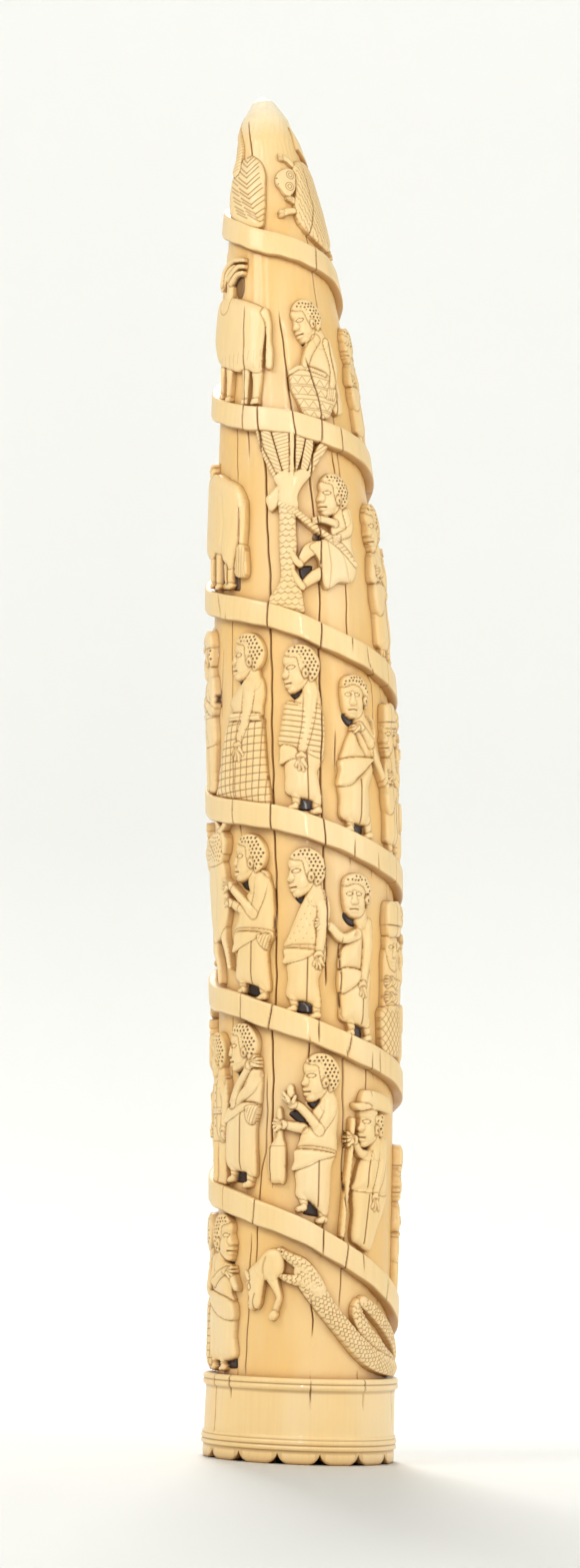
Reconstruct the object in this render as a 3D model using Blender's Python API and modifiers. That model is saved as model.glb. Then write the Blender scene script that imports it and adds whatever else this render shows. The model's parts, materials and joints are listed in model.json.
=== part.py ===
"""Carved ivory tusk, standing on its scalloped base, as one solid.

The tusk is modelled straight first: a height up its axis, a turn round it in degrees and
a radius. bend() then lays every point on the tusk's own gentle arc. A spiral ledge winds
down from the tip to a plain collar, and a procession of people and animals stands on it.
The carvings stand proud of the cut-back ground and end level with the old surface.

Lengths are in millimetres until they are laid on the arc, which gives metres.
A turn of 0 is the front of the ledge's top coil, and each 360 more is one coil lower.
"""

import math
from dataclasses import dataclass

import bmesh
import bpy
import numpy as np
from mathutils import Vector

METRE = 0.001

# The whole tusk
LENGTH = 551.0
LEAN_LEFT = math.radians(7.5)
LEAN_BACK = math.radians(9.0)
ARC = math.hypot(LEAN_LEFT, LEAN_BACK)
ARC_HEADING = math.atan2(LEAN_LEFT, LEAN_BACK)
# The foot stands beside the middle of the leaning tusk's box, which is the origin
FOOT_X = 5.9
FOOT_Y = -8.8
ROUND_STEPS = 18

# Surface before carving: height and radius
SURFACE = (
    (34.0, 38.7), (180.0, 39.3), (250.0, 39.9), (300.0, 39.5), (350.0, 37.0), (400.0, 33.0),
    (450.0, 28.0), (480.0, 23.8), (500.0, 20.7), (515.0, 17.6), (530.0, 13.4), (540.0, 9.6),
    (548.0, 4.6), (LENGTH, 0.0),
)
# Heights that the straight shaft is drawn through
RINGS = (
    LENGTH, 548.0, 540.0, 527.0, 508.0, 484.0, 452.0, 414.0, 368.0, 318.0, 250.0, 178.0, 105.0, 33.5,
)
# How deep the ground is cut back: height and depth
RELIEF = ((34.0, 4.5), (400.0, 4.3), (490.0, 3.4), (520.0, 2.2), (541.0, 0.0), (LENGTH, 0.0))
FULL_RELIEF = 4.5

# Base: radius and height, from the roll under the carving down to the rim
COLLAR_TOP = 33.5
COLLAR = (
    (39.5, COLLAR_TOP), (39.5, 28.9), (38.3, 28.5), (38.4, 9.6), (39.5, 9.0),
    (39.5, 5.3), (38.8, 5.0), (38.8, 0.0),
)
# Hollow root: radius and height, from the mouth up to its end
HOLLOW = ((32.6, 0.0), (30.5, 40.0), (19.5, 105.0), (0.0, 150.0))

# Scallops round the rim
LOBES = 14
LOBE_HEIGHT = 5.0
NOTCH_OUTLINE = ((0.0, 1.0), (1.4, 0.4), (4.3, 0.0), (4.3, -0.3))

# Spiral ledge: turn and height of its top edge
LEDGE_PATH = (
    (-300.0, 537.0), (-280.0, 531.0), (-180.0, 517.0), (-75.0, 502.5), (-20.0, 492.0), (0.0, 489.5),
    (60.0, 481.0), (180.0, 453.0), (283.0, 427.0), (319.0, 420.0), (360.0, 415.4), (440.0, 402.0),
    (640.0, 348.0), (680.0, 342.0), (717.0, 334.7), (743.0, 326.5), (783.0, 316.6), (1004.0, 265.0),
    (1034.0, 261.0), (1070.0, 257.0), (1122.0, 244.0), (1157.0, 236.0), (1366.0, 188.0),
    (1393.0, 185.0), (1435.0, 176.0), (1467.0, 168.0), (1518.0, 156.0), (1723.0, 110.0),
    (1751.0, 107.0), (1800.0, 96.0), (1847.0, 79.0), (1875.0, 69.0), (1980.0, COLLAR_TOP + 1.0),
)
LEDGE_WIDTH = 10.4
LEDGE_STEP = 20.0
ROOT = -1.2
ROOT_STEP = 0.23
FRONT_WIDTH = 0.78

# A standing figure of full stature, feet at height 0
STATURE = 64.5
LOAD_HEIGHT = 10.5
WAIST = (0.2, 29.5, 5.6, 4.3)
CHEST = (0.0, 41.5, 7.2, 4.1)
NECK = (-0.8, 44.5, 3.0, 3.1)
CHEEKS = (-0.7, 52.0, 6.9, 4.5)
CROWN = (-0.2, 64.0, 4.9, 3.9)
# Half the width of a garment at its hem, which hangs HEM above the feet
HEM = 4.5
HEM_HALVES = {"wrap": 7.3, "bell": 12.5, "long": 7.8, "trousers": 6.0}


@dataclass(frozen=True)
class Person:
    """A standing figure: its place on the spiral, its dress, and what it wears or carries."""

    turn: float
    dress: str = "wrap"
    head: str = "bare"
    arms: str = "down"
    stature: float = STATURE


PROCESSION = (
    # Top coil, behind the tip
    Person(112.0, "wrap", "bare", "down", 43.0), Person(232.0, "wrap", "bare", "down", 55.0),
    # Second coil, after the ox and the drummer
    Person(427.0, "wrap", "bare", "chest", 57.0), Person(470.0, "wrap", "load", "raised", 60.5),
    Person(512.0, "wrap", "bare", "staff", 60.0), Person(553.0, "bell", "bare", "down", 60.0),
    Person(593.0, "wrap", "cap", "chest", 60.0),
    # Third coil, after the palm and the climber
    Person(783.0, "wrap", "bare", "chest", 63.0), Person(819.0, "wrap", "load", "raised"),
    Person(855.0, "bell", "bare", "chest"), Person(891.0, "trousers", "cap", "staff"),
    Person(927.0, "wrap", "load", "raised"), Person(963.0, "wrap", "bare", "down"),
    Person(1001.0, "long", "cap", "down", 66.0),
    # Fourth coil
    Person(1038.0, "bell", "bare", "down", 66.3), Person(1080.0, "wrap", "bare", "down"),
    Person(1115.0, "wrap", "bare", "chest", 63.3), Person(1142.0, "wrap", "cap", "chest", 63.0),
    Person(1179.0, "wrap", "load", "raised"), Person(1216.0, "bell", "bare", "chest"),
    Person(1253.0, "wrap", "bare", "staff"), Person(1290.0, "trousers", "cap", "down"),
    Person(1328.0, "wrap", "load", "raised"),
    # Fifth coil, after the slain monkey
    Person(1404.0, "wrap", "bare", "raised"), Person(1440.0, "wrap", "bare", "down"),
    Person(1474.0, "wrap", "bare", "chest"), Person(1501.0, "long", "tall", "chest", 65.0),
    Person(1540.0, "wrap", "load", "raised"), Person(1578.0, "bell", "bare", "down"),
    Person(1616.0, "trousers", "cap", "staff"), Person(1654.0, "wrap", "bare", "chest"),
    Person(1692.0, "wrap", "load", "raised"), Person(1731.0, "wrap", "bare", "down", 61.0),
    # Sixth coil, down to the collar
    Person(1758.0, "long", "bare", "chest", 65.0), Person(1808.0, "wrap", "bare", "chest", 66.0),
    Person(1850.0, "trousers", "cap", "staff", 66.5), Person(1897.0, "trousers", "tall", "chest"),
    Person(1931.0, "bell", "bare", "down"), Person(1965.0, "wrap", "load", "raised"),
    Person(1999.0, "long", "cap", "chest"), Person(2033.0, "wrap", "bare", "staff"),
    Person(2066.0, "bell", "bare", "chest"), Person(2100.0, "wrap", "bare", "chest"),
)


def clear_scene() -> None:
    """Remove whatever the scene holds."""
    for item in list(bpy.data.objects):
        bpy.data.objects.remove(item, do_unlink=True)


def along(table: tuple, height: float) -> float:
    """Read a value off a table of rising heights."""
    rows = np.array(table)
    return float(np.interp(height, rows[:, 0], rows[:, 1]))


def ground_radius(height: float) -> float:
    """Give the radius of the cut-back ground."""
    return along(SURFACE, height) - along(RELIEF, height)


def ledge_top(turn: float) -> float:
    """Give the height that a carving at this turn stands on."""
    return max(along(LEDGE_PATH, turn), COLLAR_TOP)


def on_arc(turn: float, height: float, radius: float) -> Vector:
    """Lay a point of the straight tusk on the arc, in metres."""
    rate = ARC / LENGTH
    bow = rate * height
    ahead = Vector((-math.sin(ARC_HEADING), math.cos(ARC_HEADING), 0.0))
    beside = Vector((math.cos(ARC_HEADING), math.sin(ARC_HEADING), 0.0))
    axis_point = ahead * ((1.0 - math.cos(bow)) / rate) + Vector((0, 0, math.sin(bow) / rate))
    out = Vector((math.sin(turn), -math.cos(turn), 0.0))
    tilted = ahead * math.cos(bow) - Vector((0, 0, math.sin(bow)))
    point = axis_point + radius * (out.dot(ahead) * tilted + out.dot(beside) * beside)
    return (point + Vector((FOOT_X, FOOT_Y, 0.0))) * METRE


def bend(mesh: bpy.types.Mesh) -> None:
    """Bend a straight mesh, in millimetres round the Z axis, on to the arc."""
    for vertex in mesh.vertices:
        x, y, height = vertex.co
        vertex.co = on_arc(math.atan2(x, -y), height, math.hypot(x, y))
    mesh.update()


def new_object(name: str, mesh: bpy.types.Mesh, home: bpy.types.Collection) -> bpy.types.Object:
    """Put a mesh in the scene."""
    made = bpy.data.objects.new(name, mesh)
    home.objects.link(made)
    return made


def as_guide(item: bpy.types.Object) -> None:
    """Mark an object as a guide that isn't part of the tusk."""
    item.hide_render = True
    item.display_type = "WIRE"


def face_out(form: bmesh.types.BMesh) -> None:
    """Point every face of a closed form outwards."""
    bmesh.ops.recalc_face_normals(form, faces=form.faces)
    if form.calc_volume(signed=True) < 0.0:
        bmesh.ops.reverse_faces(form, faces=form.faces)


def turned_mesh(name: str, outline: list, home: bpy.types.Collection) -> bpy.types.Mesh:
    """Turn an outline of (radius, height) round the Z axis."""
    line = bpy.data.meshes.new(name + ".outline")
    points = [(radius, 0.0, height) for radius, height in outline]
    line.from_pydata(points, [(i, i + 1) for i in range(len(points) - 1)], [])
    spindle = new_object(name + ".spindle", line, home)
    screw = spindle.modifiers.new("turn", "SCREW")
    screw.steps = ROUND_STEPS
    screw.render_steps = ROUND_STEPS
    screw.use_merge_vertices = True
    screw.merge_threshold = 0.0001
    viewed = spindle.evaluated_get(bpy.context.evaluated_depsgraph_get())
    mesh = bpy.data.meshes.new_from_object(viewed)
    bpy.data.objects.remove(spindle, do_unlink=True)
    return mesh


def shaft_outline() -> list:
    """Trace the tusk from its tip down to the rim and up inside the hollow root."""
    outline = [(ground_radius(height), height) for height in RINGS]
    return outline + list(COLLAR) + list(HOLLOW)


def notch_cutters(home: bpy.types.Collection) -> None:
    """Make the cutters that part the rim into scallops."""
    for number in range(LOBES):
        turn = math.tau * (number + 0.5) / LOBES
        curve = bpy.data.curves.new(f"notch.{number}", "CURVE")
        curve.dimensions = "2D"
        curve.fill_mode = "BOTH"
        curve.extrude = 8.0
        right = [(u, v * LOBE_HEIGHT) for u, v in NOTCH_OUTLINE]
        left = [(-u, v) for u, v in right[:0:-1]]
        spline = curve.splines.new("POLY")
        spline.points.add(len(right + left) - 1)
        spline.points.foreach_set("co", [c for u, v in right + left for c in (u, v, 0.0, 1.0)])
        spline.use_cyclic_u = True
        flat = bpy.data.objects.new(f"notch.{number}", curve)
        home.objects.link(flat)
        viewed = flat.evaluated_get(bpy.context.evaluated_depsgraph_get())
        mesh = bpy.data.meshes.new_from_object(viewed)
        bpy.data.objects.remove(flat, do_unlink=True)
        wedge = bmesh.new()
        wedge.from_mesh(mesh)
        bmesh.ops.remove_doubles(wedge, verts=wedge.verts, dist=0.001)
        middle = 35.5
        for vertex in wedge.verts:
            u, v, out = vertex.co
            radius = middle - out
            vertex.co = (
                radius * math.sin(turn) + u * math.cos(turn),
                -radius * math.cos(turn) + u * math.sin(turn),
                v,
            )
        face_out(wedge)
        wedge.to_mesh(mesh)
        wedge.free()
        bend(mesh)
        as_guide(new_object(f"notch.{number}", mesh, home))


class Carving:
    """A carving in low relief, drawn flat and then laid on the tusk.

    u runs to the right along the old surface, v up from the ledge, w out from the ground.
    """

    def __init__(self, name: str, turn: float, foot: float) -> None:
        """Start an empty carving at a turn in degrees and a height in millimetres."""
        self.name = name
        self.turn = turn
        self.foot = foot
        self.form = bmesh.new()
        self.root = ROOT

    def sink(self) -> float:
        """Give the next shape its own root depth, so that no two roots are level."""
        self.root -= ROOT_STEP
        return self.root

    def loft(self, sections: tuple) -> None:
        """Add one body through a row of sections, extruded from each to the next.

        Args:
            sections: For each section its middle (u, v), half its width and how far it
                stands out.
        """
        root = self.sink()
        made = bmesh.ops.create_cube(self.form, size=2.0)
        low = sorted(made["verts"], key=lambda vertex: vertex.co.z)
        rings = [low[:4], low[4:]]
        corners = {vertex: (vertex.co.x, vertex.co.y) for vertex in low}
        top = next(face for face in low[-1].link_faces if set(face.verts) == set(low[4:]))
        for _ in sections[2:]:
            skin = bmesh.ops.extrude_discrete_faces(self.form, faces=[top])
            top = skin["faces"][0]
            for vertex in top.verts:
                near = min(rings[-1], key=lambda other: (other.co - vertex.co).length)
                corners[vertex] = corners[near]
            rings.append(list(top.verts))
        for i, ring in enumerate(rings):
            spot, half, depth = Vector(sections[i][:2]), sections[i][2], sections[i][3]
            after = Vector(sections[min(i + 1, len(rings) - 1)][:2])
            run = (after - Vector(sections[max(i - 1, 0)][:2])).normalized()
            for vertex in ring:
                side, front = corners[vertex]
                reach = side * half * (FRONT_WIDTH if front < 0.0 else 1.0)
                out = depth if front < 0.0 else root
                vertex.co = (spot.x + run.y * reach, spot.y - run.x * reach, out)

    def limb(self, start: tuple, end: tuple, width: tuple, depth: tuple) -> None:
        """Add a tapered limb from one (u, v) to another.

        Args:
            start: Where it starts.
            end: Where it ends.
            width: Half its width at each end.
            depth: How far it stands out at each end.
        """
        self.loft(((*start, width[0], depth[0]), (*end, width[1], depth[1])))

    def ball(self, centre: tuple, radii: tuple, out: float = 0.9) -> None:
        """Add a rounded lump, half sunk in the ground."""
        made = bmesh.ops.create_uvsphere(self.form, u_segments=6, v_segments=4, radius=1.0)
        for vertex in made["verts"]:
            x, y, z = vertex.co
            vertex.co = (centre[0] + x * radii[0], centre[1] + z * radii[1], out - y * radii[2])

    def finish(self, home: bpy.types.Collection) -> None:
        """Lay the carving on the tusk and leave it with the others."""
        top = max(vertex.co.y for vertex in self.form.verts)
        middle = along(SURFACE, self.foot + top / 2)
        for vertex in self.form.verts:
            u, v, w = vertex.co
            height = self.foot + v
            proud = w if w < 0.0 else w * along(RELIEF, height) / FULL_RELIEF
            radius = ground_radius(height) + proud
            vertex.co = on_arc(math.radians(self.turn) + u / middle, height, radius)
        bmesh.ops.triangulate(self.form, faces=self.form.faces)
        mesh = bpy.data.meshes.new(self.name)
        self.form.to_mesh(mesh)
        self.form.free()
        as_guide(new_object(self.name, mesh, home))


def sized(size: float, *sections: tuple) -> tuple:
    """Scale the places and half widths of a row of sections, but not how far they stand out."""
    return tuple((u * size, v * size, half * size, out) for u, v, half, out in sections)


def person(number: int, who: Person, home: bpy.types.Collection) -> None:
    """Carve a standing figure in profile, facing up the spiral."""
    size = (who.stature - (LOAD_HEIGHT if who.head == "load" else 0.0)) / STATURE
    work = Carving(f"person.{number}", who.turn, ledge_top(who.turn) - 0.6)
    feet = (-0.8, 0.0, 5.2, 2.9)
    hem = (0.3, HEM, HEM_HALVES[who.dress], 3.9)
    work.loft(sized(size, feet, hem, WAIST, CHEST, NECK, CHEEKS, CROWN))
    if who.arms == "raised":
        work.loft(sized(size, (-4.5, 40.5, 2.4, 4.4), (-9.4, 38.5, 2.3, 4.3), (-8.6, 50.0, 1.9, 4.0)))
    if who.arms == "staff":
        work.loft(sized(size, (-10.4, 0.0, 1.1, 3.4), (-9.0, 46.0, 1.1, 3.4)))
        work.loft(sized(size, (-4.0, 39.5, 2.1, 4.5), (-9.6, 33.0, 1.8, 4.2)))
    if who.head == "cap":
        work.loft(sized(size, (-1.4, 60.0, 8.6, 4.4), (-0.6, 65.0, 6.0, 3.8)))
    if who.head == "tall":
        work.loft(sized(size, (-0.6, 58.6, 7.2, 4.4), (-0.4, 65.0, 6.0, 3.8)))
    if who.head == "load":
        work.loft(sized(size, (-0.6, 61.6, 8.6, 4.7), (-0.6, 73.0, 9.8, 4.2)))
    work.finish(home)


def ox(name: str, turn: float, size: float, home: bpy.types.Collection) -> None:
    """Carve an ox seen from its side, its tail to the right and its neck raised."""
    work = Carving(name, turn, ledge_top(turn + 10.0) - 0.6)
    work.loft(sized(size, (-9.4, 0.0, 3.9, 3.4), (-9.0, 16.0, 5.0, 3.8)))
    work.loft(sized(size, (4.6, 0.0, 3.9, 3.4), (4.8, 16.0, 5.0, 3.8)))
    work.loft(sized(
        size, (0.0, 13.0, 8.0, 3.8), (-1.0, 19.0, 12.2, 4.2), (-1.4, 38.0, 12.4, 4.3),
        (-1.0, 44.6, 9.0, 3.6),
    ))
    work.loft(sized(size, (13.0, 15.0, 2.1, 3.9), (10.0, 41.0, 1.1, 4.0)))
    work.loft(sized(
        size, (-10.4, 41.0, 4.8, 3.9), (-8.6, 53.0, 3.8, 3.7), (-3.0, 59.0, 3.6, 3.7),
        (3.0, 58.0, 2.1, 3.4),
    ))
    work.finish(home)


def drummer(turn: float, home: bpy.types.Collection) -> None:
    """Carve a drummer who sits behind a barrel drum."""
    work = Carving("drummer", turn, ledge_top(turn) - 0.6)
    work.limb((-0.6, 0.0), (-0.4, 17.6), (7.4, 8.6), (3.9, 4.3))
    work.limb((4.6, 12.0), (3.6, 33.5), (5.4, 4.8), (3.4, 3.9))
    work.limb((3.6, 30.0), (-0.6, 37.0), (3.0, 2.8), (3.0, 3.2))
    work.ball((-1.0, 41.6), (6.6, 8.6, 3.7))
    work.limb((4.4, 30.0), (5.6, 19.6), (2.0, 1.7), (4.8, 4.6))
    work.limb((5.6, 20.6), (-3.0, 19.4), (1.8, 1.6), (4.7, 4.5))
    work.limb((13.2, 2.0), (12.0, 46.0), (3.4, 2.2), (3.2, 3.0))
    work.finish(home)


def palm(turn: float, home: bpy.types.Collection) -> None:
    """Carve a palm whose crown spreads to the ledge above."""
    work = Carving("palm", turn, ledge_top(turn) - 0.6)
    work.limb((-0.6, 0.0), (0.4, 12.0), (7.0, 3.6), (3.6, 3.4))
    work.limb((0.4, 11.0), (0.6, 47.0), (3.6, 3.4), (3.4, 3.4))
    work.limb((0.4, 46.0), (0.2, 72.0), (4.6, 14.4), (3.6, 3.9))
    work.limb((-2.0, 42.0), (-7.6, 46.5), (2.2, 1.8), (3.4, 3.4))
    work.finish(home)


def climber(turn: float, home: bpy.types.Collection) -> None:
    """Carve a man who climbs the palm, his hands on its trunk and his knee drawn up."""
    work = Carving("climber", turn, ledge_top(turn) - 0.6)
    work.loft((
        (2.6, 21.0, 7.0, 4.1), (2.6, 40.0, 6.4, 4.1), (0.4, 43.5, 3.0, 3.1),
        (-0.6, 48.4, 6.6, 4.5), (-0.2, 59.6, 4.6, 3.8),
    ))
    work.loft(((5.0, 20.0, 5.0, 4.4), (-9.0, 26.5, 3.6, 4.2), (-16.5, 15.0, 1.9, 3.6)))
    work.limb((0.0, 36.0), (-16.0, 41.5), (2.2, 1.7), (4.6, 4.4))
    work.finish(home)


def bird(turn: float, home: bpy.types.Collection) -> None:
    """Carve a bird with a folded wing and a long raised neck."""
    work = Carving("bird", turn, ledge_top(turn) - 0.6)
    work.limb((1.0, 0.0), (-2.2, 27.0), (6.6, 4.2), (4.2, 4.0))
    work.limb((-2.4, 24.0), (-3.6, 44.5), (2.6, 1.7), (4.2, 6.0))
    work.limb((5.4, 3.0), (7.0, 14.0), (2.6, 2.2), (3.8, 3.6))
    work.finish(home)


def beast(turn: float, home: bpy.types.Collection) -> None:
    """Carve a crouching maned beast, its head turned out and its paws raised."""
    work = Carving("beast", turn, ledge_top(turn) - 0.6)
    work.limb((4.6, 0.0), (2.4, 33.0), (8.4, 4.6), (4.4, 4.6))
    work.ball((-5.6, 25.4), (4.8, 5.8, 4.4))
    work.limb((-2.0, 14.0), (-7.4, 12.6), (2.0, 2.2), (4.6, 4.4))
    work.limb((-2.8, 31.0), (-7.0, 35.2), (1.8, 1.9), (4.4, 4.2))
    work.finish(home)


def carcass(turn: float, home: bpy.types.Collection) -> None:
    """Carve the slain monkey that the man beside it holds up by the neck."""
    work = Carving("carcass", turn, ledge_top(turn) + 1.0)
    work.ball((0.6, 60.0), (3.9, 5.2, 3.7))
    work.limb((0.0, 57.0), (-0.4, 30.0), (3.8, 4.4), (4.0, 4.2))
    work.limb((-2.2, 32.0), (-1.6, 7.0), (2.0, 1.4), (3.9, 3.6))
    work.limb((2.2, 32.0), (2.4, 12.0), (2.0, 1.4), (3.9, 3.6))
    work.finish(home)


def python_and_prey(home: bpy.types.Collection) -> None:
    """Carve a python with an antelope in its jaws, its body running down to a coil."""
    snake = Carving("python", 2140.0, COLLAR_TOP - 0.6)
    snake.loft((
        (2.0, 44.8, 3.2, 4.4), (12.5, 40.8, 4.8, 4.4), (21.0, 33.4, 4.4, 4.2),
        (33.5, 16.0, 4.2, 4.2), (44.0, 7.4, 4.2, 4.2), (57.0, 4.6, 4.0, 4.2),
    ))
    snake.loft((
        (54.0, 8.0, 3.4, 4.5), (41.0, 24.8, 3.6, 4.5), (43.6, 30.6, 3.6, 4.5),
        (49.6, 30.0, 3.6, 4.5), (60.0, 14.0, 3.4, 4.5),
    ))
    snake.finish(home)
    prey = Carving("antelope", 2136.0, COLLAR_TOP + 20.0)
    prey.limb((6.0, 29.0), (-7.6, 20.4), (4.0, 4.6), (3.8, 3.6))
    prey.limb((-7.6, 22.0), (-9.0, 8.4), (4.0, 2.4), (3.6, 3.3))
    prey.limb((4.4, 25.0), (3.4, 13.0), (3.0, 1.8), (3.6, 3.2))
    prey.limb((3.4, 14.0), (-1.2, 2.0), (1.8, 1.6), (3.2, 3.0))
    prey.finish(home)


def bottle(turn: float, foot: float, home: bpy.types.Collection) -> None:
    """Carve the bottle that hangs from a drinker's hand."""
    work = Carving("bottle", turn, foot)
    work.limb((0.0, 0.0), (0.0, 17.0), (3.6, 3.6), (3.6, 3.6))
    work.limb((0.0, 16.6), (0.4, 30.0), (2.2, 1.3), (3.2, 3.0))
    work.limb((8.0, 27.6), (-1.2, 24.4), (1.9, 1.9), (4.3, 4.2))
    work.finish(home)


def ledge(home: bpy.types.Collection) -> None:
    """Carve the spiral ledge as one long band, cut square."""
    band = bmesh.new()
    first, last = LEDGE_PATH[0][0], LEDGE_PATH[-1][0]
    pieces = round((last - first) / LEDGE_STEP)
    bmesh.ops.create_grid(band, x_segments=pieces, y_segments=1, size=0.5)
    skin = bmesh.ops.extrude_face_region(band, geom=band.faces[:])
    for item in skin["geom"]:
        if isinstance(item, bmesh.types.BMVert):
            item.co.z = 1.0
    for vertex in band.verts:
        turn = first + (vertex.co.x + 0.5) * (last - first)
        height = along(LEDGE_PATH, turn) + (vertex.co.y - 0.5) * LEDGE_WIDTH
        inner = ground_radius(height) + ROOT
        outer = along(SURFACE, height)
        radius = outer if vertex.co.z > 0.5 else inner
        vertex.co = on_arc(math.radians(turn), height, radius)
    bmesh.ops.triangulate(band, faces=band.faces)
    face_out(band)
    mesh = bpy.data.meshes.new("ledge")
    band.to_mesh(mesh)
    band.free()
    as_guide(new_object("ledge", mesh, home))


def ivory() -> bpy.types.Material:
    """Give the polished ivory, warm and pale."""
    made = bpy.data.materials.new("ivory")
    made.use_nodes = True
    surface = made.node_tree.nodes["Principled BSDF"]
    surface.inputs["Base Color"].default_value = (0.86, 0.68, 0.42, 1.0)
    surface.inputs["Roughness"].default_value = 0.35
    surface.inputs["Metallic"].default_value = 0.0
    return made


def add_boolean(tusk: bpy.types.Object, operation: str, shapes: bpy.types.Collection) -> None:
    """Join or cut the tusk with every shape in a collection."""
    step = tusk.modifiers.new(operation.lower(), "BOOLEAN")
    step.operation = operation
    step.operand_type = "COLLECTION"
    step.collection = shapes
    step.solver = "EXACT"
    step.use_self = True


def main() -> None:
    """Build the tusk."""
    clear_scene()
    scene = bpy.context.scene.collection
    home = bpy.data.collections.new("carved_tusk")
    carvings = bpy.data.collections.new("carvings")
    notches = bpy.data.collections.new("notches")
    for group in (home, carvings, notches):
        scene.children.link(group)

    body = turned_mesh("shaft", shaft_outline(), home)
    bend(body)
    tusk = new_object("carved_tusk", body, home)
    tusk.data.materials.clear()
    tusk.data.materials.append(ivory())

    notch_cutters(notches)
    ledge(carvings)
    for number, who in enumerate(PROCESSION):
        person(number, who, carvings)
    ox("ox.2", 166.0, 0.72, carvings)
    ox("ox.0", 317.0, 0.86, carvings)
    ox("ox.1", 667.0, 0.92, carvings)
    drummer(382.0, carvings)
    palm(719.0, carvings)
    climber(751.0, carvings)
    bird(-42.0, carvings)
    beast(45.0, carvings)
    carcass(1380.0, carvings)
    bottle(1784.0, 107.0, carvings)
    python_and_prey(carvings)

    add_boolean(tusk, "UNION", carvings)
    add_boolean(tusk, "DIFFERENCE", notches)
    tidy = tusk.modifiers.new("merge flat faces", "DECIMATE")
    tidy.decimate_type = "DISSOLVE"
    tidy.angle_limit = math.radians(1.7)
    tusk.data.shade_smooth()
    tusk.data.set_sharp_from_angle(angle=math.radians(35.0))


main()
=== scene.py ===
"""Looks of the carved ivory tusk: its ground, ledge, collar and every figure of its procession."""

import json
import logging
import math
from dataclasses import dataclass, field
from enum import Enum
from typing import Sequence

import bmesh
import bpy
import numpy as np
from mathutils import Matrix

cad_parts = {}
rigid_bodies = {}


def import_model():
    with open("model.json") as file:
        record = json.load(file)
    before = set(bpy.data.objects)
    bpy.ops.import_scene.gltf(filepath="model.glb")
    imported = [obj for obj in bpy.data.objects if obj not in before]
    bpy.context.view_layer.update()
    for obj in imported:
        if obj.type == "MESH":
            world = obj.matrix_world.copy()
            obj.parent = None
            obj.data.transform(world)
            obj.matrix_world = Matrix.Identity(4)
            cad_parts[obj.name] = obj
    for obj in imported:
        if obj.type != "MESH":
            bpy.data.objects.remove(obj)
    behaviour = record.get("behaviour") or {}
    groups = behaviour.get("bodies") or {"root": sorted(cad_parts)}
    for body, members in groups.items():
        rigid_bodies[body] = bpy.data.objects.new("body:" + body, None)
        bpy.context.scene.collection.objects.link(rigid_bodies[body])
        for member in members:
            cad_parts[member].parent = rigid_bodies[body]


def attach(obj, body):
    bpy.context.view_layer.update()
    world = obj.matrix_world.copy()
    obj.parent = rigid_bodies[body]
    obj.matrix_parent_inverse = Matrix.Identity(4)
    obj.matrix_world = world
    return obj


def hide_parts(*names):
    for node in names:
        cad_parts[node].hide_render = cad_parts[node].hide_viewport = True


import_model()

logging.basicConfig(level=logging.INFO, format="%(message)s")
log = logging.getLogger("carved_tusk")

NODE = "carved_tusk"
BODY = "root"
METRE = 0.001
RELIEF = 0.89  # how much of its drawn height each carving keeps, so that it stays in the CAD box

Point = tuple[float, float]
Points = Sequence[Point]


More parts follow.
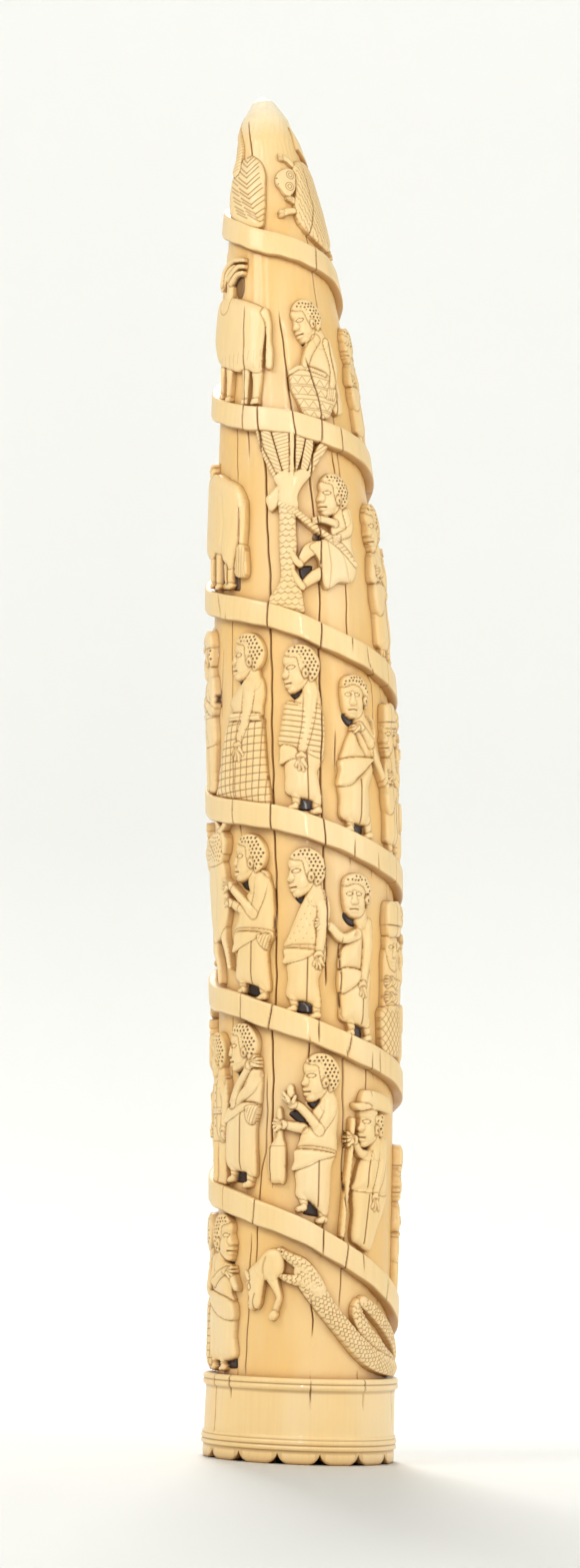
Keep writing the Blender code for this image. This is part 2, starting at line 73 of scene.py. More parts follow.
@dataclass(frozen=True)
class TuskShape:
    """The tusk's own form: its arc, its old surface and the ground cut back from it.

    Lengths are in millimetres and angles in radians unless a name says degrees. A turn of 0
    is the front of the ledge's top coil, and each 360 degrees more is one coil lower.

    Args:
        length: The length of its axis.
        lean_left: How far its tip leans to the left.
        lean_back: How far its tip leans back.
        foot_x: Where its axis starts, from left to right.
        foot_y: Where its axis starts, from front to back.
        collar_top: The height of the plain collar.
        full_relief: How deep the ground is cut back at the foot.
        surface: The old surface, as (height, radius).
        relief: The depth of the ground, as (height, depth).
        ledge: The top edge of the ledge, as (turn, height).
    """

    length: float = 551.0
    lean_left: float = math.radians(7.5)
    lean_back: float = math.radians(9.0)
    foot_x: float = 5.9
    foot_y: float = -8.8
    collar_top: float = 33.5
    full_relief: float = 4.5
    surface: tuple = (
        (34.0, 38.7), (180.0, 39.3), (250.0, 39.9), (300.0, 39.5), (350.0, 37.0), (400.0, 33.0),
        (450.0, 28.0), (480.0, 23.8), (500.0, 20.7), (515.0, 17.6), (530.0, 13.4), (540.0, 9.6),
        (548.0, 4.6), (551.0, 0.0),
    )
    relief: tuple = (
        (34.0, 4.5), (400.0, 4.3), (490.0, 3.4), (520.0, 2.2), (541.0, 0.0), (551.0, 0.0),
    )
    ledge: tuple = (
        (-300.0, 537.0), (-280.0, 531.0), (-180.0, 517.0), (-75.0, 502.5), (-20.0, 492.0),
        (0.0, 489.5), (60.0, 481.0), (180.0, 453.0), (283.0, 427.0), (319.0, 420.0),
        (360.0, 415.4), (440.0, 402.0), (640.0, 348.0), (680.0, 342.0), (717.0, 334.7),
        (743.0, 326.5), (783.0, 316.6), (1004.0, 265.0), (1034.0, 261.0), (1070.0, 257.0),
        (1122.0, 244.0), (1157.0, 236.0), (1366.0, 188.0), (1393.0, 185.0), (1435.0, 176.0),
        (1467.0, 168.0), (1518.0, 156.0), (1723.0, 110.0), (1751.0, 107.0), (1800.0, 96.0),
        (1847.0, 79.0), (1875.0, 69.0), (1980.0, 34.5),
    )

    def old_radius(self, height: np.ndarray) -> np.ndarray:
        """Give the radius of the tusk before it was carved.

        Args:
            height: Heights up the axis.

        Returns:
            The radii.
        """
        rows = np.array(self.surface)
        return np.interp(height, rows[:, 0], rows[:, 1])

    def depth(self, height: np.ndarray) -> np.ndarray:
        """Give how deep the ground is cut back.

        Args:
            height: Heights up the axis.

        Returns:
            The depths.
        """
        rows = np.array(self.relief)
        return np.interp(height, rows[:, 0], rows[:, 1])

    def ground(self, height: np.ndarray) -> np.ndarray:
        """Give the radius of the cut-back ground.

        Args:
            height: Heights up the axis.

        Returns:
            The radii.
        """
        return self.old_radius(height) - self.depth(height)

    def ledge_top(self, turn: np.ndarray) -> np.ndarray:
        """Give the height of the ledge's top edge at a turn in degrees.

        Args:
            turn: The turn, in degrees.

        Returns:
            The heights.
        """
        rows = np.array(self.ledge)
        reach = np.linspace(-9.0, 9.0, 7)
        spread = np.interp(np.asarray(turn, float)[..., None] + reach, rows[:, 0], rows[:, 1])
        return spread.mean(-1)

    def stand(self, turn: float) -> float:
        """Give the height that a carving at this turn stands on.

        Args:
            turn: The turn, in degrees.

        Returns:
            The height.
        """
        return max(float(self.ledge_top(turn)), self.collar_top)

    def place(self, angle: np.ndarray, height: np.ndarray, radius: np.ndarray) -> np.ndarray:
        """Lay points of the straight tusk on its arc.

        Args:
            angle: Angles round the tusk, in radians.
            height: Heights up its axis.
            radius: Distances from its axis.

        Returns:
            The points in metres, in the object's own frame.
        """
        arc = math.hypot(self.lean_left, self.lean_back)
        heading = math.atan2(self.lean_left, self.lean_back)
        rate = arc / self.length
        bow = rate * height
        ahead = np.array([-math.sin(heading), math.cos(heading), 0.0])
        beside = np.array([math.cos(heading), math.sin(heading), 0.0])
        up = np.array([0.0, 0.0, 1.0])
        out_ahead = np.sin(angle) * ahead[0] - np.cos(angle) * ahead[1]
        out_beside = np.sin(angle) * beside[0] - np.cos(angle) * beside[1]
        along = (1.0 - np.cos(bow)) / rate + radius * out_ahead * np.cos(bow)
        rise = np.sin(bow) / rate - radius * out_ahead * np.sin(bow)
        spot = (
            along[:, None] * ahead + (radius * out_beside)[:, None] * beside + rise[:, None] * up
        )
        return (spot + np.array([self.foot_x, self.foot_y, 0.0])) * METRE


TUSK = TuskShape()


@dataclass(frozen=True)
class Crack:
    """An age crack that runs up the tusk through ground, ledge and figures.

    Args:
        route: The line that it follows, as (degrees round, height), from the foot up.
        spans: The heights between which it is open.
        width: Half its width.
        depth: How deep it opens.
    """

    route: tuple
    spans: tuple
    width: float = 0.23
    depth: float = 1.3

    def centre(self, height: np.ndarray) -> np.ndarray:
        """Give the angle of the crack at each height, in radians, with a slight wander.

        Args:
            height: Heights up the axis.

        Returns:
            The angles.
        """
        rows = np.array(self.route)
        wander = 0.35 * np.sin(height * 0.16 + rows[0, 0]) + 0.2 * np.sin(height * 0.47)
        return np.radians(np.interp(height, rows[:, 1], rows[:, 0]) + wander)

    def strength(self, height: np.ndarray) -> np.ndarray:
        """Give how far the crack is open at each height, from 0 to 1.

        Args:
            height: Heights up the axis.

        Returns:
            The shares.
        """
        open_here = np.zeros(np.shape(height))
        for low, high in self.spans:
            ends = np.minimum(height - low, high - height)
            open_here = np.maximum(open_here, np.clip(ends / 4.5, 0.0, 1.0) ** 0.7)
        return open_here


CRACKS = (
    Crack(
        ((-63.0, 14.0), (-62.0, 34.0), (-58.0, 99.0), (-57.8, 150.0), (-57.0, 175.0), (-64.0, 295.0),
         (-62.8, 322.0), (-56.0, 336.0), (-58.7, 345.0), (-58.0, 400.0), (-66.0, 520.0), (-82.0, 540.0)),
        ((9.0, 34.5), (98.0, 111.0), (147.0, 176.0), (295.0, 322.0), (334.0, 346.0)), 0.19,
    ),
    Crack(
        ((-47.5, 26.0), (-47.5, 35.0), (-42.6, 174.0), (-42.4, 184.0), (-44.0, 246.0), (-46.7, 256.0),
         (-45.0, 281.0), (-51.3, 301.0), (-51.4, 325.0), (-50.6, 335.0), (-46.8, 389.5), (-47.1, 411.0),
         (-52.0, 520.0), (-64.0, 540.0)),
        ((22.0, 36.0), (171.0, 186.0), (246.0, 281.0), (300.0, 336.0), (388.0, 412.0)), 0.20,
    ),
    Crack(
        ((-40.0, 37.0), (-38.4, 75.0), (-37.3, 88.0), (-34.0, 399.0), (-36.3, 414.0), (-34.3, 437.0),
         (-34.3, 460.0), (-38.0, 520.0), (-50.0, 540.0)),
        ((33.0, 89.0), (398.0, 461.0)), 0.20,
    ),
    Crack(
        ((-33.0, 78.0), (-33.0, 94.0), (-30.5, 113.0), (-26.8, 121.0), (-26.7, 149.0), (-27.0, 300.0),
         (-28.0, 400.0), (-29.5, 524.0), (-33.0, 530.0), (-43.0, 538.5)),
        ((77.0, 151.0), (521.0, 540.0)), 0.20,
    ),
    Crack(
        ((-22.4, 96.0), (-22.6, 169.5), (-20.5, 180.4), (-19.1, 216.0), (-19.4, 249.0), (-20.2, 260.0),
         (-19.5, 285.0), (-19.0, 327.0), (-18.7, 349.0), (-19.8, 372.0), (-20.4, 395.0), (-22.8, 412.0),
         (-23.6, 418.0)),
        ((108.0, 420.0),), 0.25, 1.8,
    ),
    Crack(
        ((6.0, 24.0), (6.4, 57.0), (4.9, 65.0), (1.6, 160.0), (2.0, 389.0), (4.4, 406.0), (2.8, 424.0),
         (0.9, 436.0), (-1.8, 454.0)),
        ((23.0, 33.5), (50.0, 66.0), (155.0, 167.0), (388.0, 456.0)), 0.21,
    ),
    Crack(
        ((11.2, 82.0), (11.4, 95.0), (7.3, 165.0), (7.3, 173.0), (13.1, 187.0), (12.4, 221.0), (12.3, 242.0),
         (10.7, 257.0), (11.8, 284.0), (13.4, 320.0), (14.3, 329.0), (16.1, 343.0), (17.8, 362.0),
         (15.1, 374.0), (14.5, 389.0), (17.0, 397.0), (24.0, 403.0), (25.8, 412.0), (24.0, 422.0),
         (17.7, 436.0)),
        ((81.0, 96.0), (164.0, 174.0), (186.0, 437.0)), 0.24, 1.6,
    ),
    Crack(
        ((24.7, 62.0), (26.6, 85.0), (24.7, 112.0), (24.7, 158.0), (27.8, 168.0), (21.5, 175.0),
         (21.5, 286.0), (24.0, 345.0), (27.0, 388.0), (33.0, 405.0), (34.0, 436.0)),
        ((61.0, 169.0), (173.0, 206.0), (272.0, 287.0)), 0.20,
    ),
    Crack(
        ((41.2, 24.0), (40.4, 36.0), (38.8, 76.0), (37.5, 85.0), (42.3, 145.0), (43.2, 160.0), (31.0, 236.0),
         (31.0, 243.0), (34.7, 322.0), (36.4, 346.0), (36.5, 388.0), (36.2, 398.0), (37.0, 440.0),
         (36.0, 475.0), (44.0, 510.0)),
        ((21.0, 37.0), (75.0, 86.0), (143.0, 161.0), (234.0, 244.0), (318.0, 347.0), (387.0, 399.0)), 0.20,
    ),
    Crack(
        ((59.0, 61.0), (61.0, 72.0), (49.2, 153.0), (48.3, 238.0), (54.8, 279.0), (54.5, 306.0),
         (46.0, 313.0), (45.9, 320.0), (40.5, 379.0), (41.2, 395.0), (41.8, 405.0), (41.8, 429.0),
         (39.4, 451.0), (40.4, 474.0), (44.5, 482.0), (41.0, 488.0), (46.0, 493.0), (54.0, 501.0),
         (53.7, 518.0)),
        ((60.0, 73.0), (151.0, 162.0), (230.0, 239.0), (279.0, 321.0), (378.0, 519.0)), 0.21,
    ),
    Crack(
        ((76.0, 18.0), (72.5, 30.0), (70.0, 160.0), (66.0, 330.0), (66.0, 518.0)),
        ((15.0, 31.0), (170.0, 320.0)), 0.18,
    ),
    Crack(
        ((104.0, 120.0), (100.0, 420.0)),
        ((90.0, 420.0),), 0.25,
    ),
    Crack(
        ((146.0, 250.0), (140.0, 500.0)),
        ((20.0, 60.0), (240.0, 505.0)), 0.22,
    ),
    Crack(
        ((184.0, 40.0), (180.0, 340.0)),
        ((24.0, 345.0),), 0.28, 1.6,
    ),
    Crack(
        ((221.0, 180.0), (216.0, 470.0)),
        ((170.0, 470.0),), 0.23,
    ),
    Crack(
        ((252.0, 60.0), (254.0, 300.0)),
        ((18.0, 48.0), (80.0, 310.0)), 0.22,
    ),
)


@dataclass(frozen=True)
class Ivory:
    """Old polished ivory: pale where hands have worn it, amber in the ground, dark in the cuts from old dirt
    and from painted shade.

    Args:
        pale: The worn, raised colour.
        amber: The colour of the cut-back ground.
        patina_and_shade: The colour of old dirt in the shallow cuts, also used as painted shade in the
            creases and recesses.
        dark: The colour deep in the cracks and holes, and of the painted shadow patches.
        tip: The colour of the bare, most worn tip, lightened further as a painted highlight.
        grain: The colour of the fine lengthwise grain.
        cloud: The colour of the pale, wide clouds.
        roughness: The lowest roughness.
    """

    pale: tuple = (0.925, 0.675, 0.325, 1.0)
    amber: tuple = (0.89, 0.575, 0.215, 1.0)
    patina_and_shade: tuple = (0.42, 0.20, 0.055, 1.0)
    dark: tuple = (0.030, 0.013, 0.006, 1.0)
    tip: tuple = (0.96, 0.87, 0.66, 1.0)
    grain: tuple = (0.80, 0.55, 0.26, 1.0)
    cloud: tuple = (0.93, 0.80, 0.56, 1.0)
    roughness: float = 0.30

    def build(self) -> bpy.types.Material:
        """Make the material's nodes.

        Returns:
            The ivory, which reads the wear and the darkness of old dirt and painted shade written on each
            mesh.
        """
        ivory = bpy.data.materials.new("old_ivory")
        ivory.use_nodes = True
        tree = ivory.node_tree
        shader = tree.nodes["Principled BSDF"]
        place = tree.nodes.new("ShaderNodeTexCoord").outputs["Object"]

        def mix(low: object, high: object, share: object) -> bpy.types.NodeSocket:
            """Blend two colours by a share.

            Args:
                low: The first colour or the value that gives 0.
                high: The second colour or the value that gives top.
                share: How much of the second colour.

            Returns:
                The blended colour.
            """
            node = tree.nodes.new("ShaderNodeMix")
            node.data_type = "RGBA"
            for socket, value in ((node.inputs[6], low), (node.inputs[7], high)):
                if isinstance(value, tuple):
                    socket.default_value = value
                else:
                    tree.links.new(value, socket)
            tree.links.new(share, node.inputs[0])
            return node.outputs[2]

        def ramp(value: object, low: float, high: float, top: float = 1.0) -> bpy.types.NodeSocket:
            """Map a value's range on to 0 to top.

            Args:
                value: The value to map.
                low: The first colour or the value that gives 0.
                high: The second colour or the value that gives top.
                top: The highest result.

            Returns:
                The mapped value.
            """
            node = tree.nodes.new("ShaderNodeMapRange")
            node.inputs["From Min"].default_value = low
            node.inputs["From Max"].default_value = high
            node.inputs["To Max"].default_value = top
            tree.links.new(value, node.inputs["Value"])
            return node.outputs["Result"]

        def noise(scale: tuple, detail: float) -> bpy.types.NodeSocket:
            """Make a noise that is stretched by a scale along each axis.

            Args:
                scale: The scale along each axis.
                detail: How fine the noise is.

            Returns:
                The noise.
            """
            mapping = tree.nodes.new("ShaderNodeMapping")
            mapping.inputs["Scale"].default_value = scale
            tree.links.new(place, mapping.inputs["Vector"])
            node = tree.nodes.new("ShaderNodeTexNoise")
            node.inputs["Scale"].default_value = 1.0
            node.inputs["Detail"].default_value = detail
            tree.links.new(mapping.outputs["Vector"], node.inputs["Vector"])
            return node.outputs["Fac"]

        def written(name: str) -> bpy.types.NodeSocket:
            """Read a value written on the mesh's points.

            Args:
                name: The name.

            Returns:
                The value.
            """
            node = tree.nodes.new("ShaderNodeAttribute")
            node.attribute_name = name
            return node.outputs["Fac"]

        wear = mix(self.amber, self.pale, ramp(written("wear"), 0.0, 1.0))
        # Partly painted highlight: towards the tip the ivory turns paler, for its wear and for the light that
        # catches it there.
        worn_and_highlit = mix(wear, self.tip, ramp(written("wear"), 1.0, 1.6))
        grain = mix(worn_and_highlit, self.grain, ramp(noise((620.0, 620.0, 26.0), 3.0), 0.45, 0.85, 0.35))
        clouds = mix(grain, self.cloud, ramp(noise((34.0, 34.0, 14.0), 2.0), 0.45, 0.75, 0.4))
        # Painted shade: ambient occlusion pulls the colour towards the brown of old dirt in creases, recesses
        # and round the figures, where shade falls.
        hollow = tree.nodes.new("ShaderNodeAmbientOcclusion")
        hollow.samples = 8
        hollow.inputs["Distance"].default_value = 0.0065
        creases = mix(clouds, self.patina_and_shade, ramp(hollow.outputs["AO"], 0.82, 0.22, 0.95))
        # The darkness written on each mesh is old dirt in the cuts and also painted shade: shadow patches,
        # the feet of the walls and the lines round the forms.
        grimed_and_shaded = mix(creases, self.patina_and_shade, ramp(written("grime_and_shade"), 0.05, 0.6, 0.9))
        deep_dark_and_shadow = mix(grimed_and_shaded, self.dark, ramp(written("grime_and_shade"), 0.5, 1.0))
        tree.links.new(deep_dark_and_shadow, shader.inputs["Base Color"])
        shader.inputs["Subsurface Weight"].default_value = 0.12
        shader.inputs["Subsurface Radius"].default_value = (1.0, 0.45, 0.2)
        shader.inputs["Subsurface Scale"].default_value = 0.002
        shader.inputs["IOR"].default_value = 1.54
        shader.inputs["Specular IOR Level"].default_value = 0.35
        shader.inputs["Coat Weight"].default_value = 0.22
        shader.inputs["Coat Roughness"].default_value = 0.07
        shader.inputs["Coat IOR"].default_value = 1.5
        rough = tree.nodes.new("ShaderNodeMapRange")
        rough.inputs["To Min"].default_value = self.roughness
        rough.inputs["To Max"].default_value = self.roughness + 0.22
        tree.links.new(noise((300.0, 300.0, 90.0), 3.0), rough.inputs["Value"])
        tree.links.new(rough.outputs["Result"], shader.inputs["Roughness"])
        bump = tree.nodes.new("ShaderNodeBump")
        bump.inputs["Strength"].default_value = 0.16
        bump.inputs["Distance"].default_value = 0.0004
        tree.links.new(noise((900.0, 900.0, 120.0), 4.0), bump.inputs["Height"])
        tree.links.new(bump.outputs["Normal"], shader.inputs["Normal"])
        return ivory


IVORY = Ivory().build()


def write_value(piece: bpy.types.Object, name: str, values: np.ndarray) -> None:
    """Write one value for each point of a mesh, for the ivory to read.

    Args:
        piece: The object.
        name: The name.
        values: The values, one for each point.
    """
    layer = piece.data.attributes.new(name, "FLOAT", "POINT")
    layer.data.foreach_set("value", np.asarray(values, np.float32))


def crack_marks(angle: np.ndarray, height: np.ndarray, radius: np.ndarray) -> tuple:
    """Find how the cracks cut a set of points.

    Args:
        angle: Angles round the tusk, in radians.
        height: Heights up its axis.
        radius: Distances from its axis.

    Returns:
        How deep each point is cut, and how dark it is.
    """
    cut = np.zeros(len(angle))
    dark = np.zeros(len(angle))
    for crack in CRACKS:
        turn = (angle - crack.centre(height) + math.pi) % math.tau - math.pi
        away = np.abs(turn) * radius
        open_here = crack.strength(height)
        cut = np.maximum(cut, crack.depth * open_here * np.exp(-((away / crack.width) ** 2)))
        dark = np.maximum(dark, open_here * np.exp(-((away / (crack.width * 1.15)) ** 2)))
    return cut, dark


def finish_piece(piece: bpy.types.Object) -> bpy.types.Object:
    """Dress a piece in ivory, make it part of the tusk and report it.

    Args:
        piece: The object.

    Returns:
        The same piece.
    """
    piece.data.materials.clear()
    piece.data.materials.append(IVORY)
    for polygon in piece.data.polygons:
        polygon.use_smooth = True
    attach(piece, BODY)
    log.info("made %s with %d faces", piece.name, len(piece.data.polygons))
    return piece


def only(piece: bpy.types.Object) -> None:
    """Make one object the only one selected, and active.

    Args:
        piece: The object.
    """
    bpy.ops.object.select_all(action="DESELECT")
    piece.select_set(True)
    bpy.context.view_layer.objects.active = piece


def points_of(piece: bpy.types.Object) -> np.ndarray:
    """Read the points of a mesh.

    Args:
        piece: The object.

    Returns:
        The points.
    """
    spots = np.empty(len(piece.data.vertices) * 3, np.float32)
    piece.data.vertices.foreach_get("co", spots)
    return spots.reshape(-1, 3).astype(float)


def set_points(piece: bpy.types.Object, spots: np.ndarray) -> None:
    """Move the points of a mesh.

    Args:
        piece: The object.
        spots: Flat points.
    """
    piece.data.vertices.foreach_set("co", np.asarray(spots, np.float32).ravel())
    piece.data.update()


def line_distance(spots: np.ndarray, line: np.ndarray) -> np.ndarray:
    """Give the distance from flat points to a broken line.

    Args:
        spots: Flat points.
        line: The line's points.

    Returns:
        The distances.
    """
    nearest = np.full(len(spots), 1e9)
    for start, end in zip(line[:-1], line[1:]):
        run = end - start
        share = np.clip(((spots - start) @ run) / max(run @ run, 1e-9), 0.0, 1.0)
        nearest = np.minimum(nearest, np.hypot(*(spots - start - share[:, None] * run).T))
    return nearest


def inside(spots: np.ndarray, outline: np.ndarray) -> np.ndarray:
    """Tell which flat points lie inside an outline.

    Args:
        spots: Flat points.
        outline: The outline's points.

    Returns:
        True for each point inside.
    """
    x, y = spots.T
    within = np.zeros(len(spots), bool)
    for (ax, ay), (bx, by) in zip(outline, np.roll(outline, -1, 0)):
        crosses = (ay > y) != (by > y)
        edge = ax + (y - ay) * (bx - ax) / (by - ay if by != ay else 1e-9)
        within ^= crosses & (x < edge)
    return within


def rounded(points: Points, step: float = 0.9, closed: bool = False) -> np.ndarray:
    """Draw a smooth curve through a few points.

    Args:
        points: The points that it passes through.
        step: How far apart the points of the curve lie.
        closed: Whether it closes on itself.

    Returns:
        The curve's points.
    """
    base = np.array(points, float)
    if len(base) < 3:
        return base
    if closed:
        base = np.vstack([base[-1], base, base[:2]])
    else:
        base = np.vstack([2 * base[0] - base[1], base, 2 * base[-1] - base[-2]])
    drawn = []
    for p0, p1, p2, p3 in zip(base[:-3], base[1:-2], base[2:-1], base[3:]):
        count = max(2, int(np.linalg.norm((p2 - p1)[:2]) / step))
        for share in np.arange(count) / count:
            drawn.append(
                0.5 * (2 * p1 + (p2 - p0) * share + (2 * p0 - 5 * p1 + 4 * p2 - p3) * share**2
                       + (3 * p1 - p0 - 3 * p2 + p3) * share**3)
            )
    if not closed:
        drawn.append(base[-2])
    return np.array(drawn)


def blurred(values: np.ndarray, passes: int) -> np.ndarray:
    """Soften a flat array of heights by a few passes of a small binomial kernel.

    Args:
        values: The values, one for each point.
        passes: How many times to soften.

    Returns:
        The softened heights.
    """
    for _ in range(passes):
        for axis in (0, 1):
            padded = np.concatenate(
                [values.take([0], axis), values, values.take([-1], axis)], axis
            )
            low = padded.take(range(values.shape[axis]), axis)
            high = padded.take(range(2, values.shape[axis] + 2), axis)
            values = 0.5 * values + 0.25 * (low + high)
    return values


@dataclass
class Groove:
    """A cut, or with a negative depth a raised line, that follows a path.

    Args:
        path: Its points, across and up.
        width: Half its width.
        depth: How deep it is.
        grime_and_shade: How much old dirt lies in it.
        soft: Whether it is a smooth curve through its points.
    """

    path: Points
    width: float = 0.3
    depth: float = 0.45
    grime_and_shade: float = 0.55
    soft: bool = False

    def cut(self, spots: np.ndarray) -> tuple:
        """Give the depth and the dirt of this cut at flat points.

        Args:
            spots: Flat points.

        Returns:
            The depths and the dirt.
        """
        path = rounded(self.path) if self.soft else np.array(self.path, float)
        share = np.exp(-((line_distance(spots, path) / self.width) ** 2))
        return self.depth * share, self.grime_and_shade * share


@dataclass
class Dots:
    """Small drilled holes.

    Args:
        centres: Where they are.
        radius: Their radius.
        depth: How deep they are.
        grime_and_shade: How dark they are.
    """

    centres: np.ndarray
    radius: float = 0.52
    depth: float = 0.7
    grime_and_shade: float = 1.0

    def cut(self, spots: np.ndarray) -> tuple:
        """Give the depth and the dirt of these holes at flat points.

        Args:
            spots: Flat points.

        Returns:
            The depths and the dirt.
        """
        if not len(self.centres):
            return np.zeros(len(spots)), np.zeros(len(spots))
        nearest = np.full(len(spots), 1e9)
        for centre in self.centres:
            nearest = np.minimum(nearest, np.hypot(*(spots - centre).T))
        share = np.exp(-((nearest / self.radius) ** 4))
        return self.depth * share, self.grime_and_shade * share


@dataclass
class Almond:
    """An eye cut as rims round a raised ball.

    Args:
        centre: Its middle.
        length: Half its length.
        height: Half its height.
        tilt: How far it is turned, in degrees.
    """

    centre: Point
    length: float = 2.3
    height: float = 1.35
    tilt: float = 0.0

    def cut(self, spots: np.ndarray) -> tuple:
        """Give the depth and the dirt of this eye at flat points.

        Args:
            spots: Flat points.

        Returns:
            The depths and the dirt.
        """
        along, across = tilted(spots, self.centre, self.tilt)
        ring = np.abs(along / self.length) ** 1.6 + np.abs(across / self.height) ** 1.6
        rim = np.exp(-(((ring - 1.0) / 0.24) ** 2))
        lid = np.exp(-(((ring - 1.75) / 0.30) ** 2))
        ball = np.exp(-((ring / 0.55) ** 2))
        return 0.50 * rim - 0.18 * lid - 0.10 * ball, 0.75 * rim


def tilted(spots: np.ndarray, centre: Point, tilt: float) -> tuple:
    """Measure flat points from a centre, along and across a tilted line.

    Args:
        spots: Flat points.
        centre: The centre.
        tilt: The line's tilt, in degrees.

    Returns:
        How far along and how far across each point lies.
    """
    turn = math.radians(tilt)
    away = spots - np.array(centre)
    along = away[:, 0] * math.cos(turn) + away[:, 1] * math.sin(turn)
    across = away[:, 1] * math.cos(turn) - away[:, 0] * math.sin(turn)
    return along, across


def hatch(outline: np.ndarray, spacing: float, angle: float, phase: float = 0.0) -> list:
    """Rule parallel lines across an outline's box.

    Args:
        outline: The outline.
        spacing: How far apart the lines are.
        angle: Their direction, in degrees from level.
        phase: A shift of all of them.

    Returns:
        The lines, as pairs of points.
    """
    turn = math.radians(angle)
    along = np.array([math.cos(turn), math.sin(turn)])
    across = np.array([-math.sin(turn), math.cos(turn)])
    reach = outline @ across
    middle = outline.mean(0) @ along
    size = np.ptp(outline @ along) * 0.5 + 2.0
    levels = np.arange(reach.min() + phase, reach.max(), spacing)
    return [
        (tuple(across * level + along * (middle - size)), tuple(across * level + along * (middle + size)))
        for level in levels
    ]


def stipple(outline: np.ndarray, spacing: float, margin: float = 0.8, sway: float = 0.18) -> np.ndarray:
    """Set drilled holes in staggered rows inside an outline.

    Args:
        outline: The outline's points.
        spacing: How far apart the holes are.
        margin: How far they keep from the edge.
        sway: How far they stray from their rows.

    Returns:
        The holes' middles.
    """
    low, high = outline.min(0), outline.max(0)
    spots = []
    for row, y in enumerate(np.arange(low[1], high[1], spacing * 0.87)):
        for x in np.arange(low[0] + (row % 2) * spacing / 2, high[0], spacing):
            drift = sway * math.sin(7.1 * x + 3.3 * y), sway * math.cos(5.3 * y - 2.9 * x)
            spots.append((x + drift[0], y + drift[1]))
    spots = np.array(spots)
    closed = np.vstack([outline, outline[:1]])
    return spots[inside(spots, outline) & (line_distance(spots, closed) > margin)]


@dataclass
class Form:
    """One rounded form of a carving, whose outline the kinds below give.

    Args:
        crown: The height of its top over the ground.
        wall: The height at which its edge starts.
        roll: How far in from its edge it rounds over.
        marks: The cuts in it.
        grime_and_shade: How dark it is all over.
        moat: How deep the line is that sets it off from the forms below it.
        slope: How much it rises to the right and upwards, per millimetre.
        lift: Whether it swells out of what lies under it.
    """

    crown: float = 3.6
    wall: float = 2.2
    roll: float = 2.2
    marks: tuple = ()
    grime_and_shade: float = 0.0
    moat: float = 0.45
    slope: Point = (0.0, 0.0)
    lift: bool = False

    def reach(self, spots: np.ndarray) -> np.ndarray:
        """Give how far inside this form flat points lie.

        Args:
            spots: Flat points.

        Returns:
            The distances, negative outside.
        """
        raise NotImplementedError

    def box(self) -> tuple:
        """Give the lowest and highest corner of this form.

        Returns:
            The lowest and the highest corner.
        """
        raise NotImplementedError

    def free(self, spots: np.ndarray) -> np.ndarray:
        """Give how far this form stands free of what it grows from, from 0 to 1.

        Args:
            spots: Flat points.

        Returns:
            The shares.
        """
        return np.ones(len(spots))

    def middle(self) -> np.ndarray:
        """Give the middle of this form.

        Returns:
            The middle.
        """
        return np.mean(self.box(), 0)

    def surface(self, spots: np.ndarray, depth: np.ndarray) -> tuple:
        """Give the height, and the darkness from dirt and painted shade, of this form's surface at flat
        points.

        Args:
            spots: Flat points.
            depth: How far inside each point is.

        Returns:
            The heights, and the darkness from dirt and painted shade.
        """
        share = np.clip(depth / self.roll, 0.0, 1.0)
        height = self.wall + (self.crown - self.wall) * np.sqrt(1.0 - (1.0 - share) ** 2)
        height = height + (spots - self.middle()) @ np.array(self.slope)
        patina_and_shade = np.full(len(spots), self.grime_and_shade)
        for mark in self.marks:
            cut, grime_and_shade = mark.cut(spots)
            height = height - cut
            patina_and_shade = np.maximum(patina_and_shade, grime_and_shade)
        return height, patina_and_shade


@dataclass
class Plate(Form):
    """A form with a drawn outline.

    Args:
        outline: Its points.
        soft: Whether it is a smooth curve through them.
    """

    outline: Points = ()
    soft: bool = True

    def __post_init__(self) -> None:
        """Draw the outline."""
        points = np.array(self.outline, float)
        self.drawn = rounded(points, closed=True) if self.soft else points

    def reach(self, spots: np.ndarray) -> np.ndarray:
        """Give how far inside this form flat points lie.

        Args:
            spots: Flat points.

        Returns:
            The distances, negative outside.
        """
        away = line_distance(spots, np.vstack([self.drawn, self.drawn[:1]]))
        return np.where(inside(spots, self.drawn), away, -away)

    def box(self) -> tuple:
        """Give the lowest and highest corner of this form.

        Returns:
            The lowest and the highest corner.
        """
        return self.drawn.min(0), self.drawn.max(0)


@dataclass
class Limb(Form):
    """A form that follows a path, such as an arm, with its own radius at each point.

    Args:
        path: Its middle line.
        radii: Its radius at each point of that line.
        merge: How far from its start it grows out of the form below.
    """

    path: Points = ()
    radii: Sequence[float] = ()
    merge: float = 0.0

    def free(self, spots: np.ndarray) -> np.ndarray:
        """Give how far this limb stands free of what it grows from, from 0 to 1.

        Args:
            spots: Flat points.

        Returns:
            The shares.
        """
        if self.merge <= 0.0:
            return np.ones(len(spots))
        share = np.clip(np.hypot(*(spots - np.array(self.path[0])).T) / self.merge - 0.15, 0.0, 1.0)
        return share * share * (3.0 - 2.0 * share)

    def reach(self, spots: np.ndarray) -> np.ndarray:
        """Give how far inside this form flat points lie.

        Args:
            spots: Flat points.

        Returns:
            The distances, negative outside.
        """
        path = rounded(np.column_stack([np.array(self.path, float), self.radii]))
        deepest = np.full(len(spots), -1e9)
        for start, end in zip(path[:-1], path[1:]):
            run = end[:2] - start[:2]
            share = np.clip(((spots - start[:2]) @ run) / max(run @ run, 1e-9), 0.0, 1.0)
            away = np.hypot(*(spots - start[:2] - share[:, None] * run).T)
            deepest = np.maximum(deepest, start[2] + share * (end[2] - start[2]) - away)
        return deepest

    def box(self) -> tuple:
        """Give the lowest and highest corner of this form.

        Returns:
            The lowest and the highest corner.
        """
        path, wide = rounded(self.path), max(self.radii)
        return path.min(0) - wide, path.max(0) + wide


